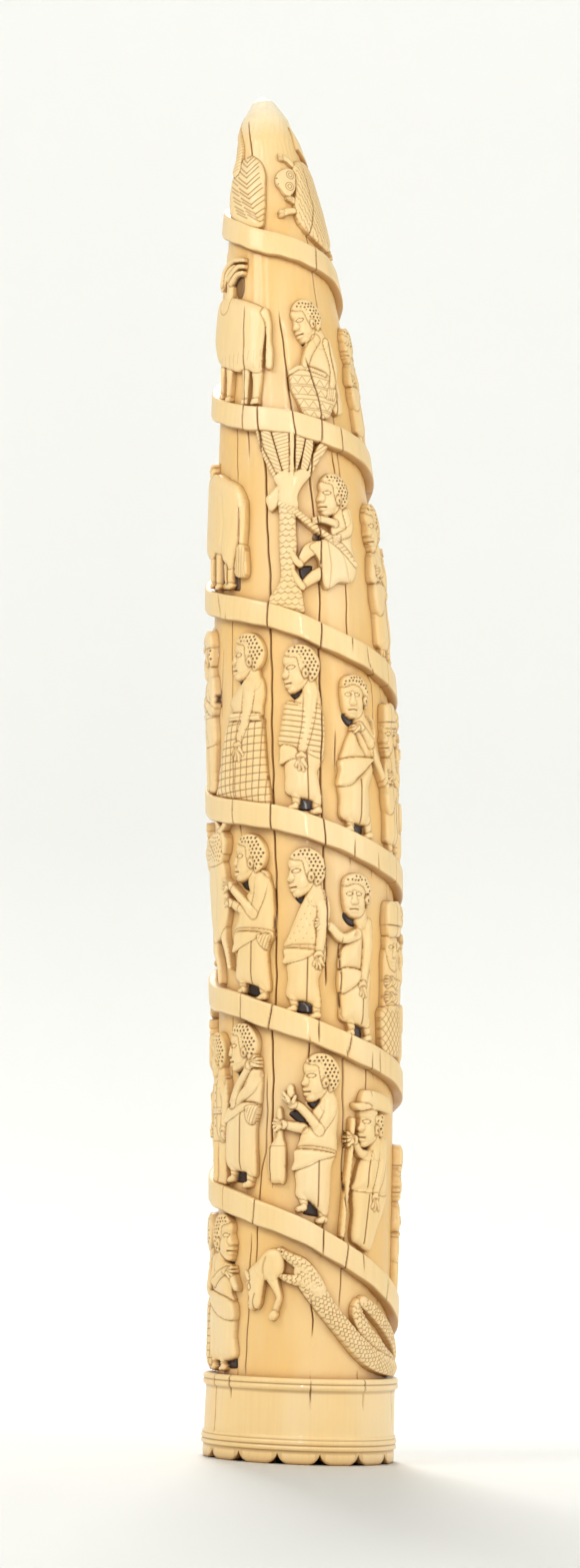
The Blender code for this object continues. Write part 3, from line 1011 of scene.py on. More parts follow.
@dataclass
class Oval(Form):
    """A form like part of a ball.

    Args:
        centre: Its middle.
        size: Half its width and half its height.
        tilt: How far it is turned, in degrees.
    """

    centre: Point = (0.0, 0.0)
    size: Point = (1.0, 1.0)
    tilt: float = 0.0

    def reach(self, spots: np.ndarray) -> np.ndarray:
        """Give how far inside this form flat points lie.

        Args:
            spots: Flat points.

        Returns:
            The distances, negative outside.
        """
        along, across = tilted(spots, self.centre, self.tilt)
        return (1.0 - np.hypot(along / self.size[0], across / self.size[1])) * min(self.size)

    def box(self) -> tuple:
        """Give the lowest and highest corner of this form.

        Returns:
            The lowest and the highest corner.
        """
        return np.array(self.centre) - max(self.size), np.array(self.centre) + max(self.size)


@dataclass
class Carving:
    """One carving of the procession, drawn as forms in its own flat frame.

    The frame lies on the tusk's old surface: x goes right round it, y up it, and heights out
    of it, in millimetres from the middle of the foot.

    Args:
        name: The piece's name.
        turn: Where it stands, in degrees round the tusk along the ledge.
        foot: The height of its foot, or None to stand on the ledge.
        size: A scale on all of it.
        cell: The spacing of its points.
    """

    name: str
    turn: float
    foot: float | None = None
    size: float = 1.0
    cell: float = 0.31
    forms: list = field(default_factory=list)

    def draw(self) -> None:
        """Add this carving's forms, from the lowest to the highest."""
        raise NotImplementedError

    def add(self, form: Form) -> Form:
        """Add a form over the ones before it.

        Args:
            form: The form to add.

        Returns:
            The same form.
        """
        self.forms.append(form)
        return form

    def base(self) -> float:
        """Give the height of this carving's foot on the tusk.

        Returns:
            The height.
        """
        return TUSK.stand(self.turn) - 0.6 if self.foot is None else self.foot

    def radius(self) -> float:
        """Give the tusk's radius that widths are laid out on.

        Returns:
            The radius.
        """
        return float(TUSK.old_radius(self.base() + 25.0))

    def seen(self, *spots: Point) -> list:
        """Turn points given as (degrees, height) on the tusk into this carving's frame.

        Args:
            spots: Flat points.

        Returns:
            The points in this carving's frame.
        """
        radius, base = self.radius(), self.base()
        turned = [((spot[0] - self.turn + 180.0) % 360.0 - 180.0, spot[1]) for spot in spots]
        return [
            (math.radians(turn) * radius / self.size, (height - base) / self.size)
            for turn, height in turned
        ]

    def compose(self, spots: np.ndarray) -> tuple:
        """Lay all the forms over each other.

        Args:
            spots: The flat points to find.

        Returns:
            How far inside the carving each point is, its height, and its darkness from dirt and painted
            shade.
        """
        depth = np.full(len(spots), -9.0)
        height = np.full(len(spots), -9.0)
        grime_and_shade = np.zeros(len(spots))
        for form in self.forms:
            low, high = form.box()
            close = np.flatnonzero(((spots > low - 1.3) & (spots < high + 1.3)).all(1))
            if not len(close):
                continue
            reach = form.reach(spots[close])
            free = form.free(spots[close])
            moat = free * np.where(reach < 0.0, np.exp(-((reach / 0.55) ** 2)), 0.0)
            near = (height[close] > form.wall - 1.2) & (moat > 0.02)
            height[close[near]] -= form.moat * moat[near]
            # Painted shade with old dirt: the line round each form is darkened where shade gathers along its
            # edge.
            grime_and_shade[close[near]] = np.maximum(
                grime_and_shade[close[near]], 0.5 * moat[near] * min(1.0, form.moat * 2.2)
            )
            if not form.lift:
                depth[close] = np.maximum(depth[close], reach)
            within = close[reach > 0.0]
            if not len(within):
                continue
            rise, patina_and_shade = form.surface(spots[within], reach[reach > 0.0])
            if form.lift:
                height[within] += np.where(height[within] > 0.6, rise, 0.0)
                grime_and_shade[within] = np.maximum(grime_and_shade[within], patina_and_shade)
                continue
            over = rise > height[within]
            under = np.where(height[within] > 0.6, height[within], rise)
            rise = under + (rise - under) * free[reach > 0.0]
            height[within[over]] = rise[over]
            grime_and_shade[within[over]] = patina_and_shade[over]
        return depth, height, grime_and_shade

    def build(self) -> bpy.types.Object:
        """Carve the piece.

        Returns:
            The finished piece, on the tusk.
        """
        self.draw()
        cell = self.cell / self.size
        boxes = [form.box() for form in self.forms]
        low = np.min([box[0] for box in boxes], 0) - 1.0
        high = np.max([box[1] for box in boxes], 0) + 1.0
        columns = np.arange(low[0], high[0] + cell, cell)
        rows = np.arange(low[1], high[1] + cell, cell)
        across, up = np.meshgrid(columns, rows)
        shape = across.shape
        spots = np.stack([across, up], -1).reshape(-1, 2)
        depth, height, grime_and_shade = self.compose(spots)
        depth, height = depth.reshape(shape), height.reshape(shape)
        kept = self.kept_cells(depth > 0.0)
        floor = np.where(depth > 0.0, height, 0.0)
        soft = blurred(np.where(depth > -0.5, np.maximum(height, floor), 0.0), 1)
        height = np.where(depth > cell, 0.45 * height + 0.55 * soft, height)
        hollow = np.clip(blurred(floor, 7) - floor, 0.0, 1.0)
        grime_and_shade = np.clip(np.maximum(grime_and_shade.reshape(shape), 0.0) + 0.35 * hollow, 0.0, 1.0)
        slide_y, slide_x = np.gradient(depth, cell)
        return self.carve(across, up, height, grime_and_shade, depth, kept, slide_x, slide_y)

    @staticmethod
    def kept_cells(within: np.ndarray) -> np.ndarray:
        """Choose the grid's cells to keep, so that none meet only at a corner.

        Args:
            within: Which points lie inside.

        Returns:
            The cells to keep.
        """
        cells = within[:-1, :-1] & within[1:, :-1] & within[:-1, 1:] & within[1:, 1:]
        for _ in range(12):
            a, b, c, d = cells[:-1, :-1], cells[:-1, 1:], cells[1:, :-1], cells[1:, 1:]
            pinch = (a & d & ~b & ~c) | (b & c & ~a & ~d)
            if not pinch.any():
                break
            for part in (a, b, c, d):
                part &= ~pinch
        return cells

    def carve(
        self, across: np.ndarray, up: np.ndarray, height: np.ndarray, grime_and_shade: np.ndarray,
        depth: np.ndarray, cells: np.ndarray, slide_x: np.ndarray, slide_y: np.ndarray,
    ) -> bpy.types.Object:
        """Make the mesh from a grid: cut it to the outline, draw down its edge and close it.

        Args:
            across: The grid's places to the right.
            up: The grid's places upwards.
            height: The carved heights.
            grime_and_shade: The darkness of old dirt and of painted shade.
            depth: How far inside the outline each point is.
            cells: Which cells to keep.
            slide_x: How depth grows to the right.
            slide_y: How depth grows upwards.

        Returns:
            The piece, laid on the tusk.
        """
        rows, columns = across.shape
        piece = woven_sheet(self.name, columns, rows)
        used = np.zeros(across.shape, bool)
        for shift in (slice(None, -1), slice(1, None)):
            for move in (slice(None, -1), slice(1, None)):
                used[shift, move] |= cells
        whole = np.ones(across.shape, bool)
        whole[1:-1, 1:-1] = cells[:-1, :-1] & cells[1:, :-1] & cells[:-1, 1:] & cells[1:, 1:]
        edge = used & ~whole
        step = np.where(edge, np.clip(depth, 0.0, 0.6), 0.0)
        slope = np.maximum(np.hypot(slide_x, slide_y), 0.35)
        out_x, out_y = -slide_x / slope, -slide_y / slope
        points = np.stack([across + step * out_x, up + step * out_y, np.where(used, height, 0.0)], -1)
        set_points(piece, points.reshape(-1, 3))
        write_value(piece, "grime_and_shade", grime_and_shade.ravel())
        write_value(piece, "out_x", out_x.ravel())
        write_value(piece, "out_y", out_y.ravel())
        write_value(piece, "drop", height.ravel())
        only(piece)
        bpy.ops.object.mode_set(mode="EDIT")
        bpy.ops.mesh.select_mode(type="FACE")
        mesh = bmesh.from_edit_mesh(piece.data)
        keep = cells.ravel()
        for face, held in zip(mesh.faces, keep):
            face.select = not held
        bmesh.update_edit_mesh(piece.data)
        bpy.ops.mesh.delete(type="FACE")
        bpy.ops.mesh.select_mode(type="EDGE")
        for share, flare in ((0.62, 0.0), (0.22, 0.12), (0.0, 0.45), (-1.0, 0.5)):
            mesh = bmesh.from_edit_mesh(piece.data)
            for edge_line in mesh.edges:
                edge_line.select = edge_line.is_boundary
            bmesh.update_edit_mesh(piece.data)
            bpy.ops.mesh.extrude_edges_move()
            mesh = bmesh.from_edit_mesh(piece.data)
            drop = mesh.verts.layers.float["drop"]
            side_x, side_y = mesh.verts.layers.float["out_x"], mesh.verts.layers.float["out_y"]
            for spot in mesh.verts:
                if spot.select:
                    full = spot[drop]
                    step_out = flare if share <= 0.25 else 0.0
                    spot.co.z = full * share if share >= 0.0 else -1.0
                    past = step_out - (0.12 if share < 0.1 else 0.0)
                    spot.co.x += spot[side_x] * past
                    spot.co.y += spot[side_y] * past
        bpy.ops.mesh.fill(use_beauty=False)
        bpy.ops.mesh.select_all(action="SELECT")
        bpy.ops.mesh.normals_make_consistent(inside=False)
        bpy.ops.object.mode_set(mode="OBJECT")
        self.lay(piece)
        return finish_piece(piece)

    def lay(self, piece: bpy.types.Object) -> None:
        """Lay the flat carving on the tusk, and cut the cracks through it.

        Args:
            piece: The object.
        """
        spots = points_of(piece)
        angle = math.radians(self.turn) + spots[:, 0] * self.size / self.radius()
        height = self.base() + spots[:, 1] * self.size
        share = TUSK.depth(height) / TUSK.full_relief
        raised = np.where(spots[:, 2] > 0.0, RELIEF * spots[:, 2], spots[:, 2])
        cut, dark = crack_marks(angle, height, TUSK.old_radius(height))
        top = np.where(raised > 0.0, np.maximum(raised - cut, 0.05) * share, raised)
        set_points(piece, TUSK.place(angle, height, TUSK.ground(height) + top))
        grime_and_shade = np.empty(len(spots), np.float32)
        piece.data.attributes["grime_and_shade"].data.foreach_get("value", grime_and_shade)
        # Painted shade with old dirt: the low parts of each carving, the feet of its walls and its shadow
        # patches, are darkened as if in shade.
        low_grime_and_shade = np.clip((0.9 - raised) / 0.9, 0.0, 1.0)
        grime_and_shade = np.clip(np.maximum(np.maximum(grime_and_shade, dark), 0.55 * low_grime_and_shade), 0.0, 1.0)
        piece.data.attributes["grime_and_shade"].data.foreach_set("value", grime_and_shade)
        write_value(piece, "wear", np.clip((raised - 0.9) / 2.6, 0.0, 1.0))
        for name in ("out_x", "out_y", "drop"):
            piece.data.attributes.remove(piece.data.attributes[name])


class Dress(Enum):
    """What a figure wears."""

    WRAP = "a cloth from the waist to the ankles"
    BELL = "a wide checked skirt"
    LONG = "a long coat"
    TROUSERS = "a jacket and trousers"


class Hat(Enum):
    """What a figure has on its head."""

    HAIR = "short drilled curls"
    CAP = "a peaked cap"
    TALL = "a tall hat"
    LOAD = "a load"
    BARE = "nothing of its own"


class Arms(Enum):
    """What a figure's arms do."""

    DOWN = "hang"
    CHEST = "meet at the chest"
    RAISED = "reach up"
    STAFF = "hold a staff"


STYLES = {
    "torso": (3.7, 1.3, 6.2), "shirt": (4.1, 1.6, 6.4), "dotted": (4.1, 1.6, 6.4), "coat": (4.1, 1.5, 6.6),
    "skirt": (4.2, 1.5, 6.0), "bell": (4.3, 1.4, 7.0), "wrap": (4.5, 2.0, 5.8), "trousers": (3.8, 1.4, 3.8),
    "flap": (4.35, 3.1, 1.8), "belt": (4.3, 3.3, 1.1), "knot": (4.5, 3.2, 1.6), "gap": (0.35, 0.3, 1.0),
    "cap": (4.9, 3.0, 3.8), "visor": (5.0, 4.0, 1.1), "bottle": (4.2, 1.6, 3.2), "bundle": (4.5, 2.4, 3.6),
    "box": (5.3, 4.4, 0.8), "arm": (4.6, 2.6, 2.7), "fore": (4.7, 2.9, 1.9), "farm": (4.0, 2.2, 2.0),
    "staff": (3.8, 1.8, 1.1), "leg": (3.4, 1.5, 2.1), "thing": (4.3, 2.4, 1.6), "neck": (3.4, 1.6, 3.2),
}
RADII = {
    "arm": (2.9, 1.75), "fore": (2.0, 1.45), "farm": (2.1, 1.5), "staff": (1.15, 1.0), "leg": (2.0, 1.3),
    "thing": (1.7, 1.3), "neck": (3.0, 3.6),
}
BUST = "torso -6.4 43.6 -7 38 -6.1 33 -6.4 28.5 6.6 28.5 6.7 34 7.6 40 6.6 44 2.8 46.6 -2.8 46"
DRESSES = {
    Dress.WRAP: (
        "gap -4 .2 4.6 .2 4.6 7.5 -4 7.5", "leg -3.6 8 -3.4 4 -3.6 1.9", "leg 4.2 8 4.2 4 4.2 1.9", BUST,
        "skirt -6.6 31.8 -7.2 24 -7.6 12 -7.2 7.4 0 6.2 7.2 6.4 7.8 14 7.4 24 6.8 31.8",
        "fold 2 30 1.4 18 2.4 6.6",
        "flap -7.8 31.4 .5 32 3.2 30.4 -3.4 20.2 -7.9 21.8", "knot 2 31.8 7.2 31.6 6.4 27.6 3.4 26",
    ),
    Dress.BELL: (
        BUST, "bell -4.8 31.2 -7.8 28.6 -8.9 18 -9.6 8 -9.4 2 0 .6 9.4 2 9.8 9 8.9 20 7.6 29 4.8 31.6",
        "belt -6 33.6 6.4 33.6 6.6 30.4 -6.2 30.4",
    ),
    Dress.LONG: (
        "gap -4 .2 4.6 .2 4.6 6 -4 6", "leg -3.6 7 -3.4 4 -3.6 1.9", "leg 4.2 7 4.2 4 4.2 1.9",
        "coat -6.4 43.6 -7.2 37 -6.6 30 -7.6 18 -8.2 5.6 0 4.4 8 5.4 7.8 18 7 30 7.6 39 6.6 44 2.8 46 -2.8 "
        "46",
        "fold .2 45 .4 5", "belt -6.9 31 7.1 31 7.1 28.6 -6.9 28.6",
    ),
    Dress.TROUSERS: (
        "gap -3 .2 4 .2 3 16 -2 16", "trousers -7.2 22 -6.9 4 -8.4 2.4 -8.2 .3 -.9 .3 -1 10 -.7 22",
        "trousers .6 22 .9 4 -.6 2.4 -.4 .3 6.9 .3 6.8 10 7.1 22",
        "shirt -6.4 43.6 -7.2 37 -6.6 30 -7.8 20 0 18.6 7.8 19.6 7 30 7.6 39 6.6 44 2.8 46 -2.8 46",
        "fold .4 45 .6 19", "buttons -1 42 -1 38.6 -1 35.2 -1 28 -1 24.6",
        "belt -6.9 32 7.1 32 7.1 29.8 -6.9 29.8",
    ),
}
FAR_ARMS = {
    Arms.DOWN: ("farm -5.8 41 -8 33.6 -8.3 25.6", "hand -8.6 24.2 -9.6 20.8 -8.6 20.2 -7.5 20.6"),
    Arms.CHEST: ("farm -5.8 41 -7.8 34 -3.6 34.6",),
    Arms.RAISED: ("farm -5.4 41 -9.6 45 -10.6 55", "hand -10.6 57 -11.6 61 -10.4 61.4 -9.2 61"),
    Arms.STAFF: ("staff -9.2 .5 -9.4 30 -9 58", "farm -5.4 41 -7.4 35.4 -8.8 40.6",
                 "hand -9 41.6 -10.9 43.2 -11 42 -10.9 40.8"),
}
NEAR_ARMS = {
    Arms.DOWN: ("arm 5.6 42.8 7.4 34 6.2 24.6", "hand 5.8 22.6 3.8 19.2 4.9 18.4 6.2 18.3 7.4 19.2"),
    Arms.CHEST: ("arm 5.6 42.8 7.8 36 6.8 32.4", "fore 6.8 32.2 3 34 -.4 36",
                 "hand -1.6 36.6 -5 38.4 -5.4 37.2 -5.3 36 -4.6 34.9"),
    Arms.RAISED: ("arm 5.4 42.8 9.4 45.6 9.6 56", "hand 9.6 58 8.4 62 9.6 62.6 10.8 62.2"),
    Arms.STAFF: ("arm 5.6 42.8 7.4 34 5.4 25", "hand 5 23 3.2 19.8 4.4 19 5.8 19"),
}
HATS = {
    Hat.HAIR: (),
    Hat.BARE: (),
    Hat.CAP: ("cap -6.6 3.4 -6.9 6 -5 8.8 .2 10 5.6 8.6 7.4 5 7.2 2.4 .4 3.2",
              "visor -10 3 -8.4 4.6 -3 4.9 -1.6 3.7 -5 2.7"),
    Hat.TALL: ("cap -6 3.8 -5.4 10 -4.4 13.4 .4 14.2 5 13 6.2 8 6.8 3.4 .4 3.4", "fold -6.4 6 6.8 5.6"),
    Hat.LOAD: ("bundle -8.6 10 -9.4 14.8 -7.6 20 9.6 20.2 11.4 15 10.6 9.8",),
}
FRONT = (
    (1038, 1.0, -1.0, (
        "torso 3.4 49.3 8.6 50.1 12.2 47.8 13.1 42.1 11.8 37.1 10.4 33 "
        "-3.5 33.5 -3.6 36.3 -5.1 38.9 -4.1 41.2 -1.4 44.1 1.9 47.2",
        "bell -4.4 32.9 -7.8 30.2 -11.8 20.6 -14.8 9.6 -17 3 -8 1.6 3 "
        "-.6 14 -2.4 13.1 11.8 12.4 23.2 12.1 29.5 11.1 32.5",
        "belt -3.9 35.4 10.8 34.2 11.3 31.3 -4.8 32.5", "head 5.2 57.4 0 HAIR",
        "arm 6.5 47 5.9 40.2 3.9 31.5 1.2 24.8", "hand .3 22 -3 17.8 -1.2 16.6 .9 16.2 3 18.4",
    )),
    (1080, 1.0, -1.0, (
        "gap -1.5 8.3 3.9 7.4 4.8 1.2 -3.3 1.8", "leg -3.6 9.3 -3.1 4.7 -4 2.6", "leg 5.8 6.6 5.5 2.4 5.7 .9",
        "torso 2.8 52.9 6.9 50.6 8.4 45.3 8.5 39.6 .1 39.8 -3 43.6 -.3 46.7 1.4 49.8",
        "skirt -7.4 27 8.4 24.5 7.9 19.6 6.1 16.5 6.6 12.1 7.5 3.7 1.7 5.4 -7.2 8 -7.7 14.3 -7.8 20",
        "fold 1.8 24 2 5.6", "wrap -6.2 44.1 .2 42.9 8.7 41 8.4 22.6 -.3 24.7 -9.7 27.1 -9.3 32.6 -7.9 38.8",
        "flap -8.6 26.9 -2.6 25.5 -2.4 22 -4.8 21.4 -9.4 19.5 -9.6 21.3", "head .1 57.3 8 HAIR",
        "arm 4.2 48.6 3.4 40.9 2.1 33.4 -.1 25.3", "hand -.6 22.2 -2.7 18.6 -1.5 17.2 .2 16.9 1.4 18.1",
    )),
    (1115, 1.0, -1.0, (
        "gap -1.5 7.3 4.2 6.2 2.2 -.1 -1.9 .9", "leg -4.7 9.2 -3.7 4.4 -4.4 2.5",
        "leg 5.1 6.7 5.4 2.2 5.7 .2", "farm 8.5 35.2 11.7 29.2 15.8 23.2",
        "hand 17 21.6 19.6 19.6 18.6 18.4 17.2 17.8",
        "torso .5 45.5 5.1 47.5 7.8 45.3 9.1 41.6 8.1 35.8 8 30.2 2.6 30.5 1.2 36.8 -1.2 41 -.6 43.6",
        "shirt -1.2 41.4 1.1 36.7 3.6 30.2 -7 29.8 -6 34 -4 38.4",
        "skirt -6.7 22.7 .8 23.9 6.9 29.5 8.8 27.4 8.5 23.9 6.6 18.8 "
        "6.7 10.7 4.3 4.5 -2.9 5.2 -8.3 7.3 -8.3 14.6 -8.9 19.6",
        "fold 1.5 22.4 .5 5.1", "flap -7.3 29.9 8 30.7 5.2 27.2 -.1 22.9 -4 20 -9.4 19.7 -8.3 25.2",
        "face .1 54.6 0 HAIR", "arm 6.6 44.4 8 40 7.4 36.6", "fore 7.2 36.6 5 39.6 2.6 42.4",
        "hand 1.4 43 -1.4 43.2 -1.7 41.9 -1 40.8",
    )),
    (1404, 1.0, -1.0, (
        "gap -2.1 8.1 3.2 6.6 4.3 0 -3.4 1.8", "leg -6.1 9 -4.8 5.3 -4.7 3.1", "leg 5.4 5.5 6.1 1.9 5.6 .3",
        "farm -4.6 35.4 -7.6 36.8 -10.4 38", "hand -11.2 38.2 -13.6 39.6 -14 38.2 -13.7 36.9",
        "shirt 5 49.9 7.9 48.5 9.9 45.3 10.8 40.5 10.3 25.2 2 25.7 -9 "
        "26.4 -7.4 30.5 -4.7 37.6 -.2 42.2 .4 46.4 2.1 48.7",
        "skirt -8.1 27 10 26 9 20.7 8 17.8 8.3 11.7 8.8 2.6 4.6 3.9 -1.2 5.6 -8.6 7.4 -8.7 13.6 -7.9 18.4",
        "fold 1.1 22.2 .6 5.4", "flap -7 26.1 5.2 25.4 1.9 22.8 -4.2 20.3 -9.3 18.2 -8.7 21.5",
        "knot 4.1 24.5 9.7 24.6 8.8 21.3 7.8 18.7 6.5 19.6 4.8 21.5", "head -.1 55.4 0 HAIR",
        "arm 6.5 47.2 5 39.6 2.5 33.2", "fore 2.3 32.9 -3 38.4 -9.3 43.9",
        "hand -10.9 44.9 -14.8 47.7 -15.5 45.9 -15.2 44 -14.5 42.3",
    )),
    (1440, 1.0, -1.0, (
        "gap -3.9 9.2 -.1 9.3 2.3 6.8 3.2 1.4 -4.4 2.5", "leg -6.4 10 -5.2 5.4 -5.9 3.2",
        "leg 4.3 6.5 4.3 2.4 4.2 .6", "torso 3.5 50.2 7.4 48 9 43 9.2 34 8.8 25.8 3 25.8",
        "dotted .6 48.5 4.5 49.9 5.7 45.6 5.4 37.2 5.2 26.3 -1.1 26.2 -9.4 27.1 -7.1 32.6 -3.4 40.9 -1 45.6",
        "skirt -9 27.5 8.4 26.9 6.8 18.8 5.2 14.6 5.9 8.6 5.5 3.6 -.1 6 -8.4 8 -7.9 14.7 -8.5 20.7",
        "fold .7 25.3 .1 6.1", "flap -8.7 26.8 2.8 26.2 3 25 -1.2 22.7 -9.2 20.9 -9.1 23.7",
        "head .3 56.9 8 HAIR", "arm 5.9 47.4 7.5 42.6 6.9 36 6.4 31.3 5.6 26",
        "hand 5.2 24 3.2 20.4 4.3 19.2 5.8 19 7.1 20.2",
    )),
    (1474, 1.0, -1.0, (
        "gap -2 7.7 2.9 7.2 2.5 .2 -2.6 1.3", "leg -4.5 8.7 -3.3 4.3 -3.9 2.2", "leg 4.3 7.3 4.8 3 5.1 .3",
        "torso 2.8 46.4 6.7 47.7 8.3 42.5 7.4 34.1 6.9 26.8 1.9 26.6 1.2 36.3 1.7 43.4",
        "shirt -1.3 42.7 2.2 45.8 2.6 36.3 1.3 27.2 -2.1 27 -9 27.4 -8.2 33.7 -5.2 37.9",
        "skirt -8.4 21 -4.5 22.2 -.3 25.3 6.4 26 5.9 16.1 5 5.1 -2.5 6.1 -8.4 7.6 -8.5 13.4",
        "fold 1.9 22 1.2 5.9", "flap -8.7 27 .6 26.7 .6 23.1 -4.5 19.4 -9 18.1", "face -.7 55.8 0 HAIR",
        "fore -1 41 -5.8 39.2 -9.4 40 -12.6 43.3 -15 44.6",
        "hand -16 44.7 -19 46.4 -19.4 45 -19.3 43.8 -18.6 42.7", "arm 4.7 44.2 4.3 36.3 3.5 30.4 2.2 23.4",
        "hand 1.4 21 .2 17.4 1.5 16.6 2.9 16.9",
    )),
    (1507, 1.0, -1.0, (
        "gap -4 .2 4.6 .2 4.6 6 -4 6", "coat -6.5 43 -7.2 30 -6 17 7.5 17 8 30 7.2 38 6 43 0 45",
        "face .6 43.6 0 BARE", "arm 5.8 40.4 7.6 33 4 29.6", "fore 5 29.4 1 30 -2 31",
        "hand -2.6 31 -6 32.4 -6.4 31 -6.2 29.8 -5.6 28.8", "fore 5 23.6 1 24 -2 24.6",
        "hand -2.6 24.8 -6 26.2 -6.4 24.8 -6.2 23.6 -5.6 22.6",
        "bundle -9.6 19.6 0 21.5 9 20 9.6 8 8 2 -5 1.2 -9.2 4 -10 12",
        "cap -5.6 61 .7 62.5 6.8 61.5 7.4 50 .5 48.6 -5.8 49.6", "fold -6 53 7.4 52.8",
    )),
    (1758, 1.0, -1.0, (
        "gap -4.6 12 1.4 10.7 2.2 4.8 -6.1 5.1", "leg -8 13 -6.3 8.5 -7.2 6.1", "leg 3.3 10 3.4 6.2 2.5 4",
        "torso 3.7 49.7 7.8 49.2 8.8 44.7 8.5 40 7.5 34.9 .1 "
        "34.6 -2.4 35.3 -7 32.9 -8.5 34.1 -6 37.7 .1 47.2",
        "skirt .1 36.1 7.4 35.5 7.8 32.8 6.4 28 6.1 20.9 6.5 7.6 1.2 8.6 "
        "-10.7 11.1 -12.4 20.9 -12.1 26.9 -12.7 29.3 -8.5 33.8",
        "fold -1.1 32.3 -1.3 9.7", "flap -8.5 34.1 .1 36.1 7 35.2 .1 32.8 -6 29.9 -12.8 27.4",
        "knot 1.8 34.3 7.8 34.6 6.8 30.4 5.2 27.4 2.5 29.2", "head -.8 58.1 6 HAIR",
        "arm 6 46.6 3.7 41.8 -2.4 37.7 -5.5 35.6", "fore -5.8 35.6 -3.2 41.3 .5 46.6 3.1 49.9",
        "hand 3.9 51.1 6.3 54.3 7.8 53.2 8.2 51.8 8.1 50.4",
    )),
    (1808, 1.0, -1.0, (
        "gap -5.5 11.9 -.7 9.5 .4 4.2 -6.2 5.3", "gap -13 44 -7.5 39.8 -4 40 -8 46",
        "leg -7.2 13.3 -5.9 9 -6.5 7.3", "leg 2.1 7.6 2.4 4.1 2.2 2.8",
        "shirt 1.6 50.8 4.6 53 7.5 50.6 8.5 45.3 7.8 37 7.3 28.3 -1.8 29.5 "
        "-8.9 30.3 -8.2 33.3 -6.6 38.3 -3.1 39.8 -3.2 44 -.2 48.1",
        "skirt -8.4 31 7 29.5 6.2 25.7 5.4 22.2 5.2 13.9 3.9 4.5 "
        ".3 6.5 -4 10.1 -9.3 11.8 -9.5 16.6 -10.1 22.6",
        "fold 0 25.6 -.1 7.9", "flap -8.8 30.1 7 28.3 0 25.9 -4.2 23.8 -10.9 21.8 -10.2 25.5",
        "bottle -17.8 45.6 -15.9 45.7 -15.5 36.8 -15.2 33.8 -14.2 30.6 -14.3 "
        "17.8 -16.9 17 -21.1 18 -21.6 29.6 -20.3 32 -18.3 34.4 -18 36.8",
        "farm -6.6 38.4 -11.3 39 -14 39.6", "hand -15.3 39.7 -18.6 41.6 -19 40.2 -18.9 38.8 -18.3 37.3",
        "head .5 58.3 4 HAIR", "thing -12 51.4 -12 54", "arm 5.2 48.6 4.1 44 .2 37.8",
        "fore 0 37.4 -3.7 42.2 -7.7 46.3 -9.8 47.5",
        "hand -11.2 47.7 -13.6 48.8 -15 50.2 -14.9 52.2 -10 50.8",
    )),
    (1850, 1.0, -1.0, (
        "gap -10 46 -3 48 -3 42 -9 42", "staff -13.7 56.7 -14.4 45.8 -16.1 30.9 -17.9 12.1",
        "trousers -11.6 30.8 6.6 29.8 5.4 21.7 1.4 15.1 -3.6 6.1 -10.4 8.6 -13.3 10.8 -12.6 20.3",
        "fold -5 28 -7.4 9",
        "shirt -1 49.5 6 50.2 7.8 43.1 6.6 28.7 -4.5 28.9 -13.5 30 -12.3 33.4 -10.2 39.9 -6.5 44.1",
        "fold -2.6 47.6 -5.6 38 -6 29.6", "farm -5.2 43.2 -9.5 44.3 -12.5 48.1",
        "hand -13.3 49.3 -16.6 51.9 -16.9 50.3 -17 48.7 -16.5 47", "head -3.4 55.6 0 BARE",
        "cap -9.1 67.4 -6 68.6 4.2 66.8 8.4 64.4 8.2 59.6 3.3 60.3 -5.9 61.6 -10.3 61.8",
        "visor -13.4 63.4 -6.7 63.2 -5.2 61.6 -11.6 60.8", "arm 3.8 46.8 2.4 40 .3 33.5 -1.2 28.8",
        "hand -1.6 26.8 -3.7 23.1 -2.2 22.1 .1 22.2",
    )),
    (2100, 1.0, 1.0, (
        "gap -11.2 7.4 8 8.4 8.2 2.6 -10.7 1.6", "leg .1 8.5 .3 4.2 1.2 2.3",
        "leg -8.4 8.5 -8.2 4.2 -7.6 2.3",
        "torso -13.2 46.3 -2.3 47.1 -.3 44.8 5.1 42.7 6.8 38.1 5.4 32.3 6.5 28.6 -9.5 30.6 -13.5 37.5",
        "skirt -13.3 29 -5.6 27.6 2.8 26.5 7.8 25 7.9 15 7.9 6.2 -11.2 5.3 -13.7 14.1",
        "flap -12.3 32.3 -1.6 30.9 5.6 29.1 8.5 26.6 8.5 21.6 2.9 21.6 -5.4 24.2 -12.3 28.2",
        "head -.8 53.8 0 HAIR", "thing 6.8 37.8 9.3 34", "arm -10.8 44 -8.9 36.6 -6.8 35.6",
        "fore -6.8 35.8 -2.6 38.4 2.4 40.6", "hand 3.4 40.4 7 41.8 7.5 40.4 7 39 5.9 38",
    )),
)


def drawn(text: str) -> list:
    """Read an outline from a line of numbers, across and up by turns.

    Args:
        text: Numbers, across and up by turns.

    Returns:
        The points.
    """
    values = [float(value) for value in text.split()]
    return list(zip(values[::2], values[1::2]))


